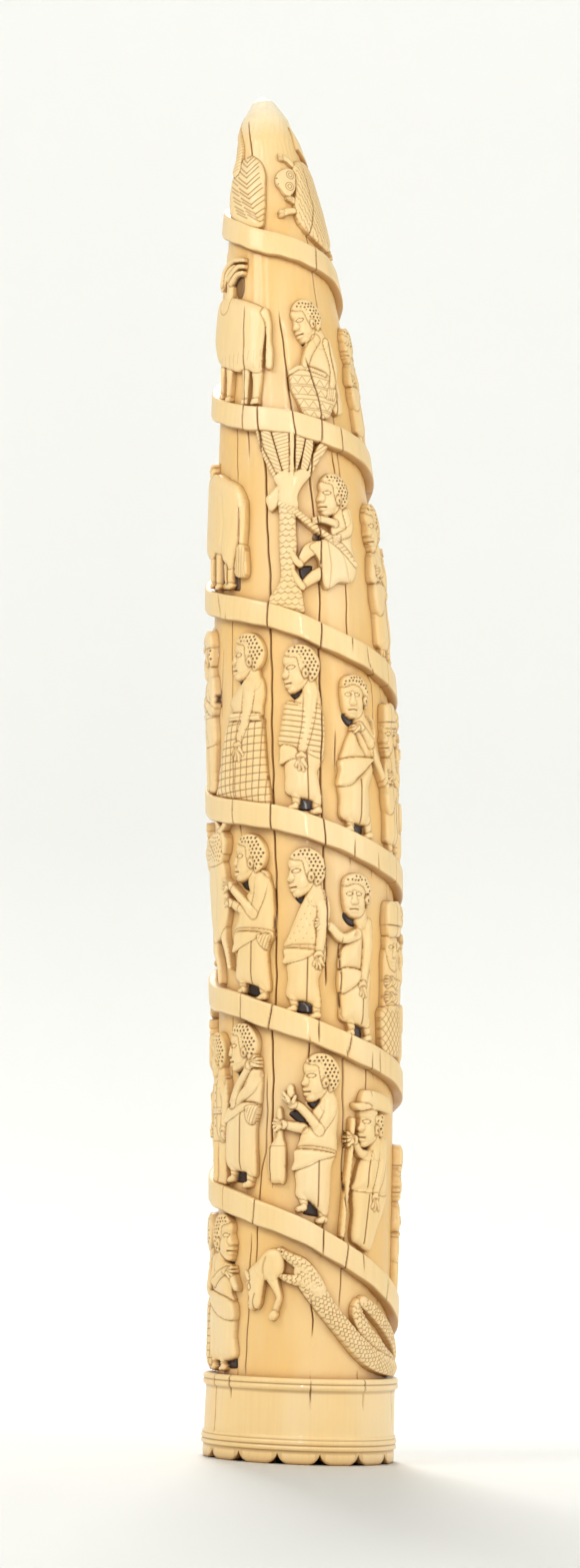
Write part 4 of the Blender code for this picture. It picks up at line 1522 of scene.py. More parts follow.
@dataclass
class Headed(Carving):
    """A carving that has a head on it, in the one plain style of the whole procession."""

    def draw_head(
        self, at: Point, size: float = 1.0, nod: float = 0.0, way: float = -1.0, turned: bool = False,
        hat: Hat = Hat.HAIR,
    ) -> None:
        """Add a calm, plain face, an ear, drilled curls and what is worn on them.

        Args:
            at: The head's middle.
            size: A scale on it.
            nod: How far it is tilted forward, in degrees.
            way: The way that it faces, -1 for left and 1 for right.
            turned: Whether the face is turned half to the front.
            hat: What is on it.
        """
        turn = math.radians(-nod * way)

        def put(text: str) -> list:
            """Place points drawn on an upright head that faces left.

            Args:
                text: Numbers, across and up by turns.

            Returns:
                The points, placed.
            """
            return [
                (at[0] + size * (-x * way * math.cos(turn) - y * math.sin(turn)),
                 at[1] + size * (-x * way * math.sin(turn) + y * math.cos(turn)))
                for x, y in drawn(text)
            ]

        def raise_oval(text: str, reach: Point, rise: float, moat: float = 0.0) -> None:
            """Raise a soft swelling on the face.

            Args:
                text: Numbers, across and up by turns.
                reach: Half its width and half its height.
                rise: How far it swells.
                moat: How deep the line round it is.
            """
            self.add(Oval(centre=put(text)[0], size=(reach[0] * size, reach[1] * size), crown=rise, wall=0.0,
                          roll=min(reach) * size, moat=moat, lift=True, tilt=math.degrees(turn)))

        # Painted shadow: a dark, barely raised patch under the chin stands for the shade there.
        self.add(Plate(outline=put("-6.2 -8.5 -3.4 -12 2 -12 2.5 -5 -4 -6"), crown=0.5, wall=0.3, grime_and_shade=1.0,
                       moat=0.0))
        self.add(Limb(path=put("2 -5 2.8 -10.6"), radii=(3.1 * size, 3.6 * size), crown=3.4, wall=1.6,
                      roll=3.2, moat=0.2))
        if turned:
            skull = "-6.2 6 -7.2 2.6 -7 -1.2 -6.6 -4.6 -5 -8 -2.2 -9.6 1.4 -8.8 4.4 -5.2 5.4 -1 5.4 4.4 0 8"
            eyes, mouth = (("-4.5 .9", 1.6), ("-.1 .9", 1.9)), "-4.3 -5.8 -2.2 -5.6 0 -5.9"
            nose = "-2.9 2 -1.7 2 -1 -1.6 -.3 -2.8 -1.3 -3.6 -3.3 -3.6 -4.2 -2.8 -3.4 -1.4"
            swells = (("-4.9 -3", (1.7, 2.2), 0.4), ("1.9 -3", (2.2, 2.4), 0.4), ("-2.2 -5", (2.1, 0.8), 0.6),
                      ("-2.1 -6.6", (1.8, 0.85), 0.6), ("-2.1 -8.4", (1.8, 1.1), 0.35),
                      ("-4.4 3.2", (2.2, 0.7), 0.35),
                      ("0 3.2", (2.6, 0.7), 0.35))
            hair = (
                "-6.6 4.2 -6.6 6.8 -4.4 9 0 9.8 4.4 8.6 7.2 5.2 8 .8 7 -3.4 5.6 -5.2 4.6 -2 4.4 1.6 "
                "2.6 4.4 -1 5.6 -4 5"
            )
            ear = "5 -1.6"
        else:
            skull = ("-5.9 6 -6.9 3.2 -6.4 1.7 -7.3 -.6 -8.3 -2.2 -7.2 -3.1 -7.9 -4.3 -7.2 -5.3 -7.7 -6.3 "
                     "-6.8 -7.2"
                     " -6.5 -8.7 -4.6 -9.5 -1.2 -8.5 1.8 -5.6 3.5 -2 3.5 5 0 8")
            eyes, mouth = (("-3.9 .8", 2.1),), "-8.6 -5.5 -6.6 -5.3 -4.7 -5.4"
            nose = "-6.7 1.7 -5.5 .2 -5.1 -1.8 -6 -3 -8.2 -3.2 -8.7 -2.2 -7.6 -.6"
            swells = (("-2.4 -3.4", (3.2, 2.8), 0.45), ("-6.6 -4.6", (1.7, 0.8), 0.8),
                      ("-6.4 -6.3", (1.6, 0.85), 0.8),
                      ("-4.8 -8.2", (2.0, 1.3), 0.5), ("-4 3.2", (2.8, 0.75), 0.4))
            hair = (
                "-5.7 6.2 -3.6 8.4 -.3 9.4 4.1 8.4 7.3 5.1 8.6 1.3 7.7 -2.5 5.8 -4.9 3.3 -6.1 2.5 -4 "
                ".5 -2.6 -.2 .4 -.8 4.4 -3.2 5.2"
            )
            ear = "1.7 -2.4"
        marks = [Almond(put(eye)[0], 0.92 * reach * size, 0.88 * size, math.degrees(turn)) for eye,
                 reach in eyes]
        marks.append(Groove(put(mouth), 0.27 * size, 0.55, 0.75))
        self.add(Plate(outline=put(skull), crown=4.2, wall=1.9, roll=5.2 * size, marks=tuple(marks)))
        self.add(Plate(outline=put(nose), crown=0.95, wall=0.0, roll=1.5 * size, moat=0.2, lift=True))
        for spot, reach, rise in swells:
            raise_oval(spot, reach, rise, 0.08)
        if hat not in (Hat.HAIR, Hat.LOAD):
            hair = "1 2.6 6.6 3.6 7 -1 5.8 -5 3.9 -4.2 3.5 -1.4 1.6 .2"
        curls = rounded(put(hair), closed=True)
        self.add(Plate(outline=put(hair), crown=4.75, wall=2.6, roll=4.0 * size,
                       marks=(Dots(stipple(curls, 1.75 * size), 0.47 * size),), moat=0.5))
        spot = put(ear)[0]
        self.add(Oval(centre=spot, size=(1.3 * size, 1.9 * size), crown=4.9, wall=3.9, roll=0.8 * size,
                      moat=0.4, marks=(
            Groove((spot, (spot[0] + 0.2, spot[1] - 0.6)), 0.5 * size, 0.8, 0.8),
        )))
        for part in HATS[hat]:
            kind, _, text = part.partition(" ")
            self.draw_part(kind, put(text))

    def draw_part(self, kind: str, points: Points) -> None:
        """Add one part of a figure in the style of its kind.

        Args:
            kind: The kind, from the styles above, or a hand, a line or buttons.
            points: Its outline, or the path of a limb.
        """
        if kind == "hand":
            palm = np.array(points[0])
            self.add(Oval(centre=points[0], size=(2.0, 1.8), crown=4.5, wall=3.0, roll=1.7))
            for tip in points[1:]:
                start = palm + (np.array(tip) - palm) * 0.3
                self.add(Limb(path=(tuple(start), tip), radii=(0.8, 0.55), crown=4.6, wall=3.1, roll=0.75,
                              moat=0.4))
            return
        if kind in ("fold", "buttons"):
            mark = Groove(points, 0.32, 0.6, 0.7,
                          True) if kind == "fold" else Dots(np.array(points), 0.5, 0.5, 0.7)
            self.forms[-1].marks += (mark,)
            return
        crown, wall, roll = STYLES[kind]
        if kind in RADII:
            radii = np.linspace(*RADII[kind], len(points))
            self.add(Limb(path=points, radii=radii, crown=crown, wall=wall, roll=roll,
                          merge={"arm": 7.0, "farm": 4.0, "fore": 2.5}.get(kind, 0.0)))
            if kind == "leg":
                self.draw_foot(points[-1])
            return
        outline = np.array(points)
        form = Plate(outline=points, crown=crown, wall=wall, roll=roll,
                     soft=kind not in ("belt", "gap", "box"))
        # Painted shadow: a dark, barely raised patch stands for the deep shade between the legs and under the
        # arms.
        if kind == "gap":
            form.grime_and_shade, form.moat = 1.0, 0.0
        elif kind == "bell":
            form.marks = tuple(Groove(line, 0.25, 0.36, 0.62) for angle in (3.0, 86.0)
                               for line in hatch(outline, 2.95, angle, 1.4))
        elif kind == "wrap":
            form.marks = tuple(Groove(line, 0.27, 0.4, 0.6) for line in hatch(outline, 2.15, -9.0, 1.0))
        elif kind in ("skirt", "coat", "trousers"):
            form.marks = tuple(Groove(line, 1.3, 0.22, 0.04) for line in hatch(outline, 5.2, 86.0, 2.6))
        elif kind == "bundle":
            form.marks = tuple(Groove(line, 0.26, 0.4,
                                      0.5) for angle in (48.0, -48.0) for line in hatch(outline, 2.5, angle))
        elif kind == "knot":
            form.marks = tuple(Groove(line, 0.24, 0.4, 0.45) for line in hatch(outline, 1.3, 68.0, 0.5))
        elif kind == "dotted":
            form.marks = (Dots(stipple(form.drawn, 2.9, 1.0, 0.5), 0.27, 0.3, 0.5),)
        elif kind in ("belt", "bottle"):
            form.marks = (Groove(hatch(outline, 99.0, 0.0, float(np.ptp(outline[:, 1])) / 2)[0], 0.24,
                                 0.35, 0.4),)
        self.add(form)

    def draw_foot(self, ankle: Point) -> None:
        """Add a bare foot with its toes.

        Args:
            ankle: The ankle's place.
        """
        x, y = ankle
        toes = tuple(Groove(((x - 3.4, y - 1.2 + step), (x - 2.2, y - 0.9 + step)), 0.2, 0.4,
                            0.5) for step in (0.0, 0.7, 1.4))
        self.add(Limb(path=((x + 0.6, y + 0.2), (x - 2.2, y - 0.6)), radii=(1.35, 1.0), crown=3.5, wall=1.8,
                      roll=1.3,
                      marks=toes))


@dataclass
class Person(Headed):
    """A walking figure of the procession.

    Args:
        parts: Its parts from the lowest to the highest, each a kind and its points.
        way: The way that it faces, -1 for left and 1 for right.
    """

    parts: Sequence[str] = ()
    way: float = -1.0

    def draw(self) -> None:
        """Draw the figure part by part."""
        for part in self.parts:
            kind, _, text = part.partition(" ")
            if kind in ("head", "face"):
                x, y, nod, hat = text.split()
                self.draw_head((float(x), float(y)), 0.9 if kind == "face" else 1.0, float(nod), self.way,
                               kind == "face", Hat[hat])
            else:
                self.draw_part(kind, drawn(text))


@dataclass
class LongNeckedBird(Carving):
    """The bird near the tip: a long neck, and a folded wing of herringbone feathers."""

    def draw(self) -> None:
        """Draw its tail, wing and neck."""
        wing = self.seen(
            (-41.1, 522.8), (-29.3, 523.5), (-15.4, 520.9), (-8.6, 517.5), (-7.1, 513.6), (-8.4, 508.1),
            (-9.2, 501.5), (-11.3, 497.0), (-13.8, 492.7), (-23.1, 492.0), (-39.6, 494.8), (-56.9, 498.7),
            (-66.0, 502.5), (-70.0, 509.7), (-66.1, 517.1), (-55.8, 522.4),
        )
        rib = self.seen((-33.7, 523.6), (-33.2, 515.2), (-31.1, 507.6), (-22.8, 499.6), (-13.4, 492.8))
        drawn = rounded(wing, closed=True)
        spine = rounded(rib)
        feathers = []
        for share in np.linspace(0.03, 0.97, 14):
            root = spine[int(share * (len(spine) - 1))]
            feathers.append(Groove((tuple(root), (root[0] + 5.4, root[1] + 3.9)), 0.27, 0.6, 0.55))
            feathers.append(Groove((tuple(root), (root[0] - 4.4, root[1] + 3.8)), 0.27, 0.6, 0.55))
            feathers.append(Groove(((root[0] - 4.6, root[1] + 2.2), (root[0] - 9.0, root[1] + 5.4)), 0.27,
                                   0.5, 0.5))
        feathers.append(Groove([tuple(spot) for spot in drawn] + [tuple(drawn[0])], 0.26, 0.25, 0.3))
        self.add(Plate(outline=wing, crown=4.4, wall=2.0, roll=3.4, marks=tuple(feathers)))
        neck = self.seen((-81.1, 541.0), (-84.0, 537.6), (-64.0, 533.0), (-53.5, 528.6), (-53.0, 524.5),
                         (-56.0, 519.0))
        rings = tuple(
            Groove(((x - 2.2, y - 0.7), (x + 2.2, y + 0.1)), 0.2, 0.3, 0.4)
            for x, y in rounded(neck, 1.3)[2:]
        )
        self.add(Limb(path=neck, radii=(1.1, 1.5, 1.5, 1.6, 2.0, 2.8), crown=5.4, wall=3.6, roll=1.7,
                      marks=rings, moat=0.9))


@dataclass
class ManedBeast(Carving):
    """The beast near the tip: long hair, a round head with ringed eyes, and clawed paws."""

    def draw(self) -> None:
        """Draw its paws, body and head."""
        for spots in (
            self.seen((20.5, 521.6), (28.8, 520.9), (40.9, 517.2)),
            self.seen((10.8, 497.2), (18.6, 498.2), (30.0, 498.3)),
            self.seen((22.6, 503.9), (30.9, 501.7)),
        ):
            self.add(Limb(path=spots, radii=np.linspace(1.35, 1.1, len(spots)), crown=4.0, wall=2.4,
                          roll=1.1))
            x, y = spots[0]
            for shift in (-0.95, -0.3, 0.35, 1.0):
                self.add(Limb(path=((x + 0.3, y + shift * 0.9), (x - 1.25, y + shift * 1.2)),
                              radii=(0.42, 0.3),
                              crown=4.1, wall=2.8, roll=0.4, moat=0.3))
        body = self.seen(
            (42.5, 519.2), (59.7, 520.7), (84.6, 519.6), (100.8, 513.7), (108.8, 504.7), (106.6, 494.7),
            (94.6, 486.5), (72.2, 483.3), (51.7, 485.8), (37.4, 490.2), (28.7, 494.6), (28.3, 498.3),
            (28.4, 502.1), (34.1, 507.8), (34.5, 514.9),
        )
        drawn = rounded(body, closed=True)
        hairs = []
        for row, x in enumerate(np.arange(drawn[:, 0].min(), drawn[:, 0].max(), 1.15)):
            for step, y in enumerate(np.arange(drawn[:, 1].min() + (row % 3) * 1.5, drawn[:, 1].max(), 4.6)):
                sway = 0.7 + 0.3 * math.sin(1.7 * x + y)
                hairs.append(Groove(((x, y + 3.7), (x + sway, y)), 0.2, 0.4, 0.45))
        self.add(Plate(outline=body, crown=4.7, wall=2.0, roll=4.0, marks=tuple(hairs)))
        head = self.seen(
            (6.7, 512.0), (10.4, 514.3), (18.6, 516.0), (30.1, 516.5), (35.9, 514.5), (34.6, 510.7),
            (29.8, 506.8), (22.0, 504.6), (16.3, 505.3), (12.0, 507.7), (7.3, 509.6),
        )
        eyes = self.seen((27.2, 513.6), (23.6, 508.6))
        marks = []
        for eye in eyes:
            for radius, depth in ((1.75, 0.4), (0.85, 0.4)):
                ring = [
                    (eye[0] + radius * math.cos(turn), eye[1] + radius * math.sin(turn))
                    for turn in np.linspace(0.0, math.tau, 25)
                ]
                marks.append(Groove(ring, 0.2, depth, 0.6))
        nostrils = np.array(self.seen((8.7, 512.2), (9.5, 509.8)))
        marks.append(Dots(nostrils, 0.3, 0.4, 0.8))
        self.add(Plate(outline=head, crown=5.0, wall=3.0, roll=2.8, marks=tuple(marks)))


@dataclass
class GrazingOx(Carving):
    """The ox under the tip coil, with a wound head above its flat back."""

    def draw(self) -> None:
        """Draw its legs, body, tail and head."""
        for top, foot, wide in (
            ((-64.1, 440.1), (-65.6, 424.3), 1.9), ((-53.0, 438.0), (-54.7, 422.2), 2.4),
            ((-34.1, 436.2), (-35.6, 419.5), 2.2), ((-23.4, 438.0), (-26.2, 419.1), 2.9),
        ):
            x0, y0 = self.seen(top)[0]
            x1, y1 = self.seen(foot)[0]
            knee = ((x0 + x1) / 2 + 0.3, (y0 + y1) / 2)
            self.add(Limb(path=((x0, y0), knee, (x1 + 0.2, y1 + 1.6)), radii=(wide, wide * 0.62, 1.2),
                          crown=3.6,
                          wall=2.0, roll=1.8))
            self.add(Plate(outline=((x1 - 1.9, y1), (x1 - 1.2, y1 + 2.2), (x1 + 1.2, y1 + 2.2),
                                    (x1 + 1.5, y1)),
                           crown=3.5, wall=2.4, roll=0.8, soft=False))
        body = self.seen(
            (-78.2, 464.6), (-62.4, 465.9), (-45.4, 464.2), (-22.3, 459.8), (-13.7, 456.5), (-12.7, 452.4),
            (-15.8, 445.3), (-18.8, 437.5), (-20.0, 432.2), (-27.3, 432.3), (-34.1, 434.2), (-42.7, 433.6),
            (-53.0, 436.0), (-64.1, 438.1), (-76.3, 443.3), (-84.0, 452.0),
        )
        hairs = [Groove(self.seen((turn, 436.0 + 3.0 * math.sin(turn)), (turn + 1.5, 441.0)), 0.22,
                        0.14, 0.25)
                 for turn in range(-66, -20, 5)]
        self.add(Plate(outline=body, crown=4.5, wall=2.4, roll=4.2, marks=tuple(hairs)))
        tail = self.seen((-14.6, 456.4), (-12.0, 451.4), (-12.4, 444.2), (-12.2, 439.9), (-13.2, 434.0))
        self.add(Limb(path=tail, radii=(1.6, 1.1, 0.9, 1.3, 1.2), crown=4.2, wall=2.8, roll=1.1))
        self.draw_head()

    def draw_head(self) -> None:
        """Draw the neck, the head and the horns wound over it."""
        shade = self.seen((-52.2, 472.0), (-41.0, 473.0), (-40.5, 467.0), (-46.2, 464.4))
        self.add(Plate(outline=shade, crown=0.4, wall=0.3, grime_and_shade=0.75, moat=0.0))
        self.add(Limb(path=self.seen((-60.0, 462.7), (-56.0, 468.1), (-57.4, 473.2)), radii=(3.6, 2.4, 2.2),
                      crown=3.9,
                      wall=2.2, roll=2.4, merge=4.0))
        self.add(Limb(path=self.seen((-72.0, 472.0), (-60.1, 476.6), (-50.0, 477.0)), radii=(2.6, 2.4, 1.8),
                      crown=4.1,
                      wall=2.8, roll=2.2))
        for path, crown in (
            (((-37.8, 474.4), (-46.0, 474.0), (-53.0, 471.4)), 4.4),
            (((-36.0, 476.9), (-45.0, 477.0), (-57.5, 473.4)), 4.7),
            (((-36.1, 479.6), (-51.0, 480.2), (-65.4, 477.4), (-69.6, 472.4)), 5.0),
        ):
            self.add(Limb(path=self.seen(*path), radii=np.linspace(0.75, 1.3, len(path)), crown=crown,
                          wall=3.2, roll=1.1))


@dataclass
class StandingOx(Carving):
    """The ox beside the palm, seen from behind with its long tail hanging."""

    def draw(self) -> None:
        """Draw its legs, body, tail and head."""
        # Painted shadow: a dark, barely raised patch between the legs stands for the shade there.
        self.add(Plate(outline=self.seen((-72.0, 360.0), (-43.4, 356.0), (-43.4, 345.0), (-71.0, 347.6)),
                       crown=0.35,
                       wall=0.3, grime_and_shade=0.85, moat=0.0, soft=False))
        for top, foot, wide in (
            ((-75.1, 362.4), (-73.4, 348.3), 1.7), ((-62.9, 362.9), (-62.2, 346.8), 2.1),
            ((-54.2, 359.0), (-53.2, 346.2), 0.9), ((-48.2, 357.9), (-48.6, 345.9), 2.1),
        ):
            x0, y0 = self.seen(top)[0]
            x1, y1 = self.seen(foot)[0]
            self.add(Limb(path=((x0, y0), ((x0 + x1) / 2, (y0 + y1) / 2), (x1, y1 + 1.2)),
                          radii=(wide, wide * 0.8, wide * 0.7), crown=3.5, wall=2.0, roll=1.5))
            self.add(Oval(centre=(x1 - 0.4, y1 + 0.9), size=(wide + 0.4, 1.2), crown=3.5, wall=2.2, roll=0.9))
        body = self.seen(
            (-97.0, 393.0), (-84.0, 395.4), (-65.9, 393.5), (-54.0, 390.3), (-44.4, 387.8), (-38.7, 384.2),
            (-35.8, 380.0), (-35.0, 374.3), (-36.4, 369.7), (-39.4, 367.5), (-41.2, 364.1), (-43.1, 360.4),
            (-44.8, 357.1), (-45.9, 353.9), (-50.6, 354.2), (-53.3, 356.5), (-56.4, 357.6), (-59.1, 360.5),
            (-68.5, 361.8), (-72.0, 360.3), (-89.1, 362.1), (-98.0, 370.0),
        )
        self.add(Plate(outline=body, crown=4.4, wall=2.2, roll=5.4, marks=(
            Groove(self.seen((-57.0, 384.0), (-55.0, 372.0), (-57.0, 361.0)), 0.9, 0.3, 0.06, True),
            Groove(self.seen((-40.1, 377.4), (-40.0, 372.3), (-41.0, 366.4)), 0.35, 0.6, 0.5, True),
        )))
        tail = self.seen((-37.6, 379.8), (-37.2, 373.4), (-37.6, 367.2), (-38.2, 361.6))
        self.add(Limb(path=tail, radii=(1.5, 1.3, 1.1, 1.0), crown=4.4, wall=3.0, roll=1.2, merge=3.5))
        tuft = self.seen((-41.4, 362.6), (-35.9, 361.9), (-34.6, 358.3), (-34.6, 349.8), (-42.5, 350.4),
                         (-43.0, 356.5))
        drawn = np.array(tuft)
        self.add(Plate(outline=tuft, crown=4.4, wall=3.0, roll=1.6, marks=tuple(
            Groove(line, 0.2, 0.4, 0.45) for line in hatch(drawn, 0.85, 91.0, 0.4)
        )))
        x, y = self.seen((-81.0, 395.6))[0]
        self.add(Oval(centre=(x, y), size=(3.4, 2.4), tilt=15.0, crown=4.2, wall=2.6, roll=2.0))
        self.add(Limb(path=((x - 0.5, y + 1.0), (x + 2.2, y + 2.8)), radii=(0.9, 0.6), crown=4.4, wall=3.0,
                      roll=0.8))


@dataclass
class Palm(Carving):
    """The palm, with a flared foot, a scaly trunk and fronds that spread under the ledge."""

    def draw(self) -> None:
        """Draw its trunk, fronds and the stub of a branch."""
        stub = self.seen((-18.9, 380.2), (-14.0, 382.6), (-9.0, 385.0), (-8.0, 379.3), (-11.5, 376.2),
                         (-15.9, 374.8), (-18.2, 377.5))
        self.add(Plate(outline=stub, crown=3.6, wall=2.4, roll=1.8))
        trunk = self.seen(
            (-8.9, 377.0), (3.2, 375.5), (1.6, 371.0), (1.2, 359.7), (0.0, 354.1), (-0.3, 348.5),
            (2.8, 342.2),
            (3.9, 337.2), (3.6, 333.2), (-5.6, 334.7), (-19.5, 337.5), (-13.9, 342.8), (-10.2, 347.7),
            (-10.5, 360.1), (-9.7, 371.4),
        )
        marks = []
        left, right = self.seen((-12.0, 340.0))[0][0], self.seen((3.0, 340.0))[0][0]
        low, high = self.seen((0.0, 334.5))[0][1], self.seen((0.0, 375.0))[0][1]
        for row, y in enumerate(np.arange(low, high, 2.3)):
            for step, x in enumerate(np.arange(left - 3.0 + (row % 2) * 1.4, right + 1.0, 2.8)):
                sway = math.sin(3.1 * row + 5.3 * step)
                marks.append(Groove(((x - 1.3, y + 0.5 * sway), (x, y - 0.7 + 0.3 * sway),
                                     (x + 1.5, y + 0.25)),
                                    0.24, 0.45 + 0.1 * sway, 0.42, True))
        self.add(Plate(outline=trunk, crown=4.2, wall=2.4, roll=2.6, marks=tuple(marks)))
        self.draw_fronds()
        hub = self.seen(
            (-12.4, 388.0), (-6.2, 390.5), (1.7, 389.8), (7.6, 390.8), (13.9, 388.8), (6.9, 383.9),
            (3.5, 380.0),
            (2.9, 375.2), (-8.8, 376.5), (-9.5, 383.3),
        )
        self.add(Plate(outline=hub, crown=4.5, wall=2.8, roll=3.0, moat=0.2))

    def draw_fronds(self) -> None:
        """Draw the fronds, each ruled with leaflets."""
        fronds = (
            (((-25.5, 408.3), (-21.5, 407.7), (-20.1, 401.0), (-8.8, 388.6), (-12.4, 387.5),
              (-21.8, 399.1)), 38.0),
            (((-21.3, 407.7), (-13.9, 407.6), (-5.6, 389.0), (-9.0, 388.1), (-19.4, 400.4)), -24.0),
            (((-13.2, 407.6), (0.3, 406.6), (-0.3, 388.7), (-5.2, 389.1)), 12.0),
            (((4.5, 405.7), (12.4, 404.2), (8.2, 396.4), (2.4, 388.1)), -8.0),
            (((13.0, 403.9), (18.0, 403.0), (15.8, 395.2), (9.6, 388.4), (6.3, 389.6), (9.7, 397.5)), -42.0),
            (((17.2, 397.6), (23.5, 401.6), (29.2, 400.0), (18.0, 392.3), (13.9, 387.6),
              (11.9, 389.6)), 30.0),
        )
        for outline, lean in fronds:
            points = self.seen(*outline)
            leaflets = tuple(
                Groove(line, 0.2, 0.42, 0.5) for line in hatch(np.array(points), 1.45, lean)
            )
            self.add(Plate(outline=points, crown=3.9, wall=2.9, roll=1.3, marks=leaflets, soft=False,
                           moat=0.7))
        rib = self.seen((2.3, 407.4), (1.4, 397.0), (0.6, 387.9))
        self.add(Limb(path=rib, radii=(1.0, 0.95, 1.2), crown=4.4, wall=3.4, roll=0.9))


@dataclass
class Drummer(Headed):
    """The drummer, who bends over a barrel drum with zigzag bands."""

    def draw(self) -> None:
        """Draw the body, the arms, the drum and the head."""
        # Painted shadow: a dark, barely raised patch under the head stands for the shade there.
        self.add(Plate(outline=self.seen((12.0, 446.5), (24.0, 444.0), (26.0, 449.0), (14.0, 448.5)),
                       crown=0.4,
                       wall=0.3, grime_and_shade=1.0, moat=0.0))
        torso = self.seen(
            (20.2, 444.2), (30.0, 449.1), (38.6, 446.9), (42.0, 441.9), (43.6, 432.9), (47.6, 424.4),
            (48.4, 415.3), (38.7, 414.6), (31.6, 428.2), (20.9, 432.2), (15.9, 433.5), (18.6, 438.9),
        )
        self.add(Plate(outline=torso, crown=4.0, wall=2.4, roll=3.6))
        barrel = self.seen(
            (4.5, 431.2), (10.6, 432.9), (20.9, 432.1), (31.7, 430.6), (39.9, 426.9), (42.9, 421.6),
            (37.7, 416.1), (32.0, 411.8), (20.0, 411.4), (12.4, 413.1), (8.4, 418.5), (4.5, 423.0),
            (3.5, 427.5),
        )
        marks = []
        for low, high in ((429.2, 425.6), (424.8, 421.4), (419.6, 416.0), (415.2, 411.8)):
            slope = 3.6
            for level in (low, high):
                marks.append(Groove(self.seen((1.0, level + 0.4), (24.0, level - 0.8), (47.0, level - slope)),
                                    0.22, 0.35, 0.5))
            points = []
            for step, turn in enumerate(np.arange(2.0, 46.0, 3.6)):
                drop = slope * max(0.0, (turn - 12.0)) / 34.0
                points.append((turn, (low if step % 2 else high) - drop + (-0.4 if step % 2 else 0.4)))
            marks.append(Groove(self.seen(*points), 0.2, 0.3, 0.45))
        self.add(Plate(outline=barrel, crown=4.5, wall=2.6, roll=3.2, marks=tuple(marks)))
        self.add(Limb(path=self.seen((3.6, 430.4), (12.0, 432.4), (22.0, 431.4), (33.0, 429.4)),
                      radii=(0.8, 0.8, 0.8, 0.8), crown=4.7, wall=3.6, roll=0.7))
        self.add(Limb(path=self.seen((28.4, 444.0), (21.4, 438.9), (16.9, 433.6)), radii=(2.0, 1.6, 1.3),
                      crown=4.5,
                      wall=3.3, roll=1.6))
        self.add(Limb(path=self.seen((39.4, 442.5), (43.0, 432.2), (38.4, 424.3)), radii=(2.2, 1.9, 1.4),
                      crown=4.7,
                      wall=3.4, roll=1.8))
        x, y = self.seen((37.6, 422.6))[0]
        for shift in (-1.4, -0.5, 0.4, 1.3):
            self.add(Limb(path=((x + shift, y + 0.6), (x + shift - 1.1, y - 3.0)), radii=(0.6, 0.45),
                          crown=4.9,
                          wall=3.9, roll=0.5, moat=0.3))
        self.draw_head(self.seen((23.0, 452.2))[0], 0.92, 16.0)


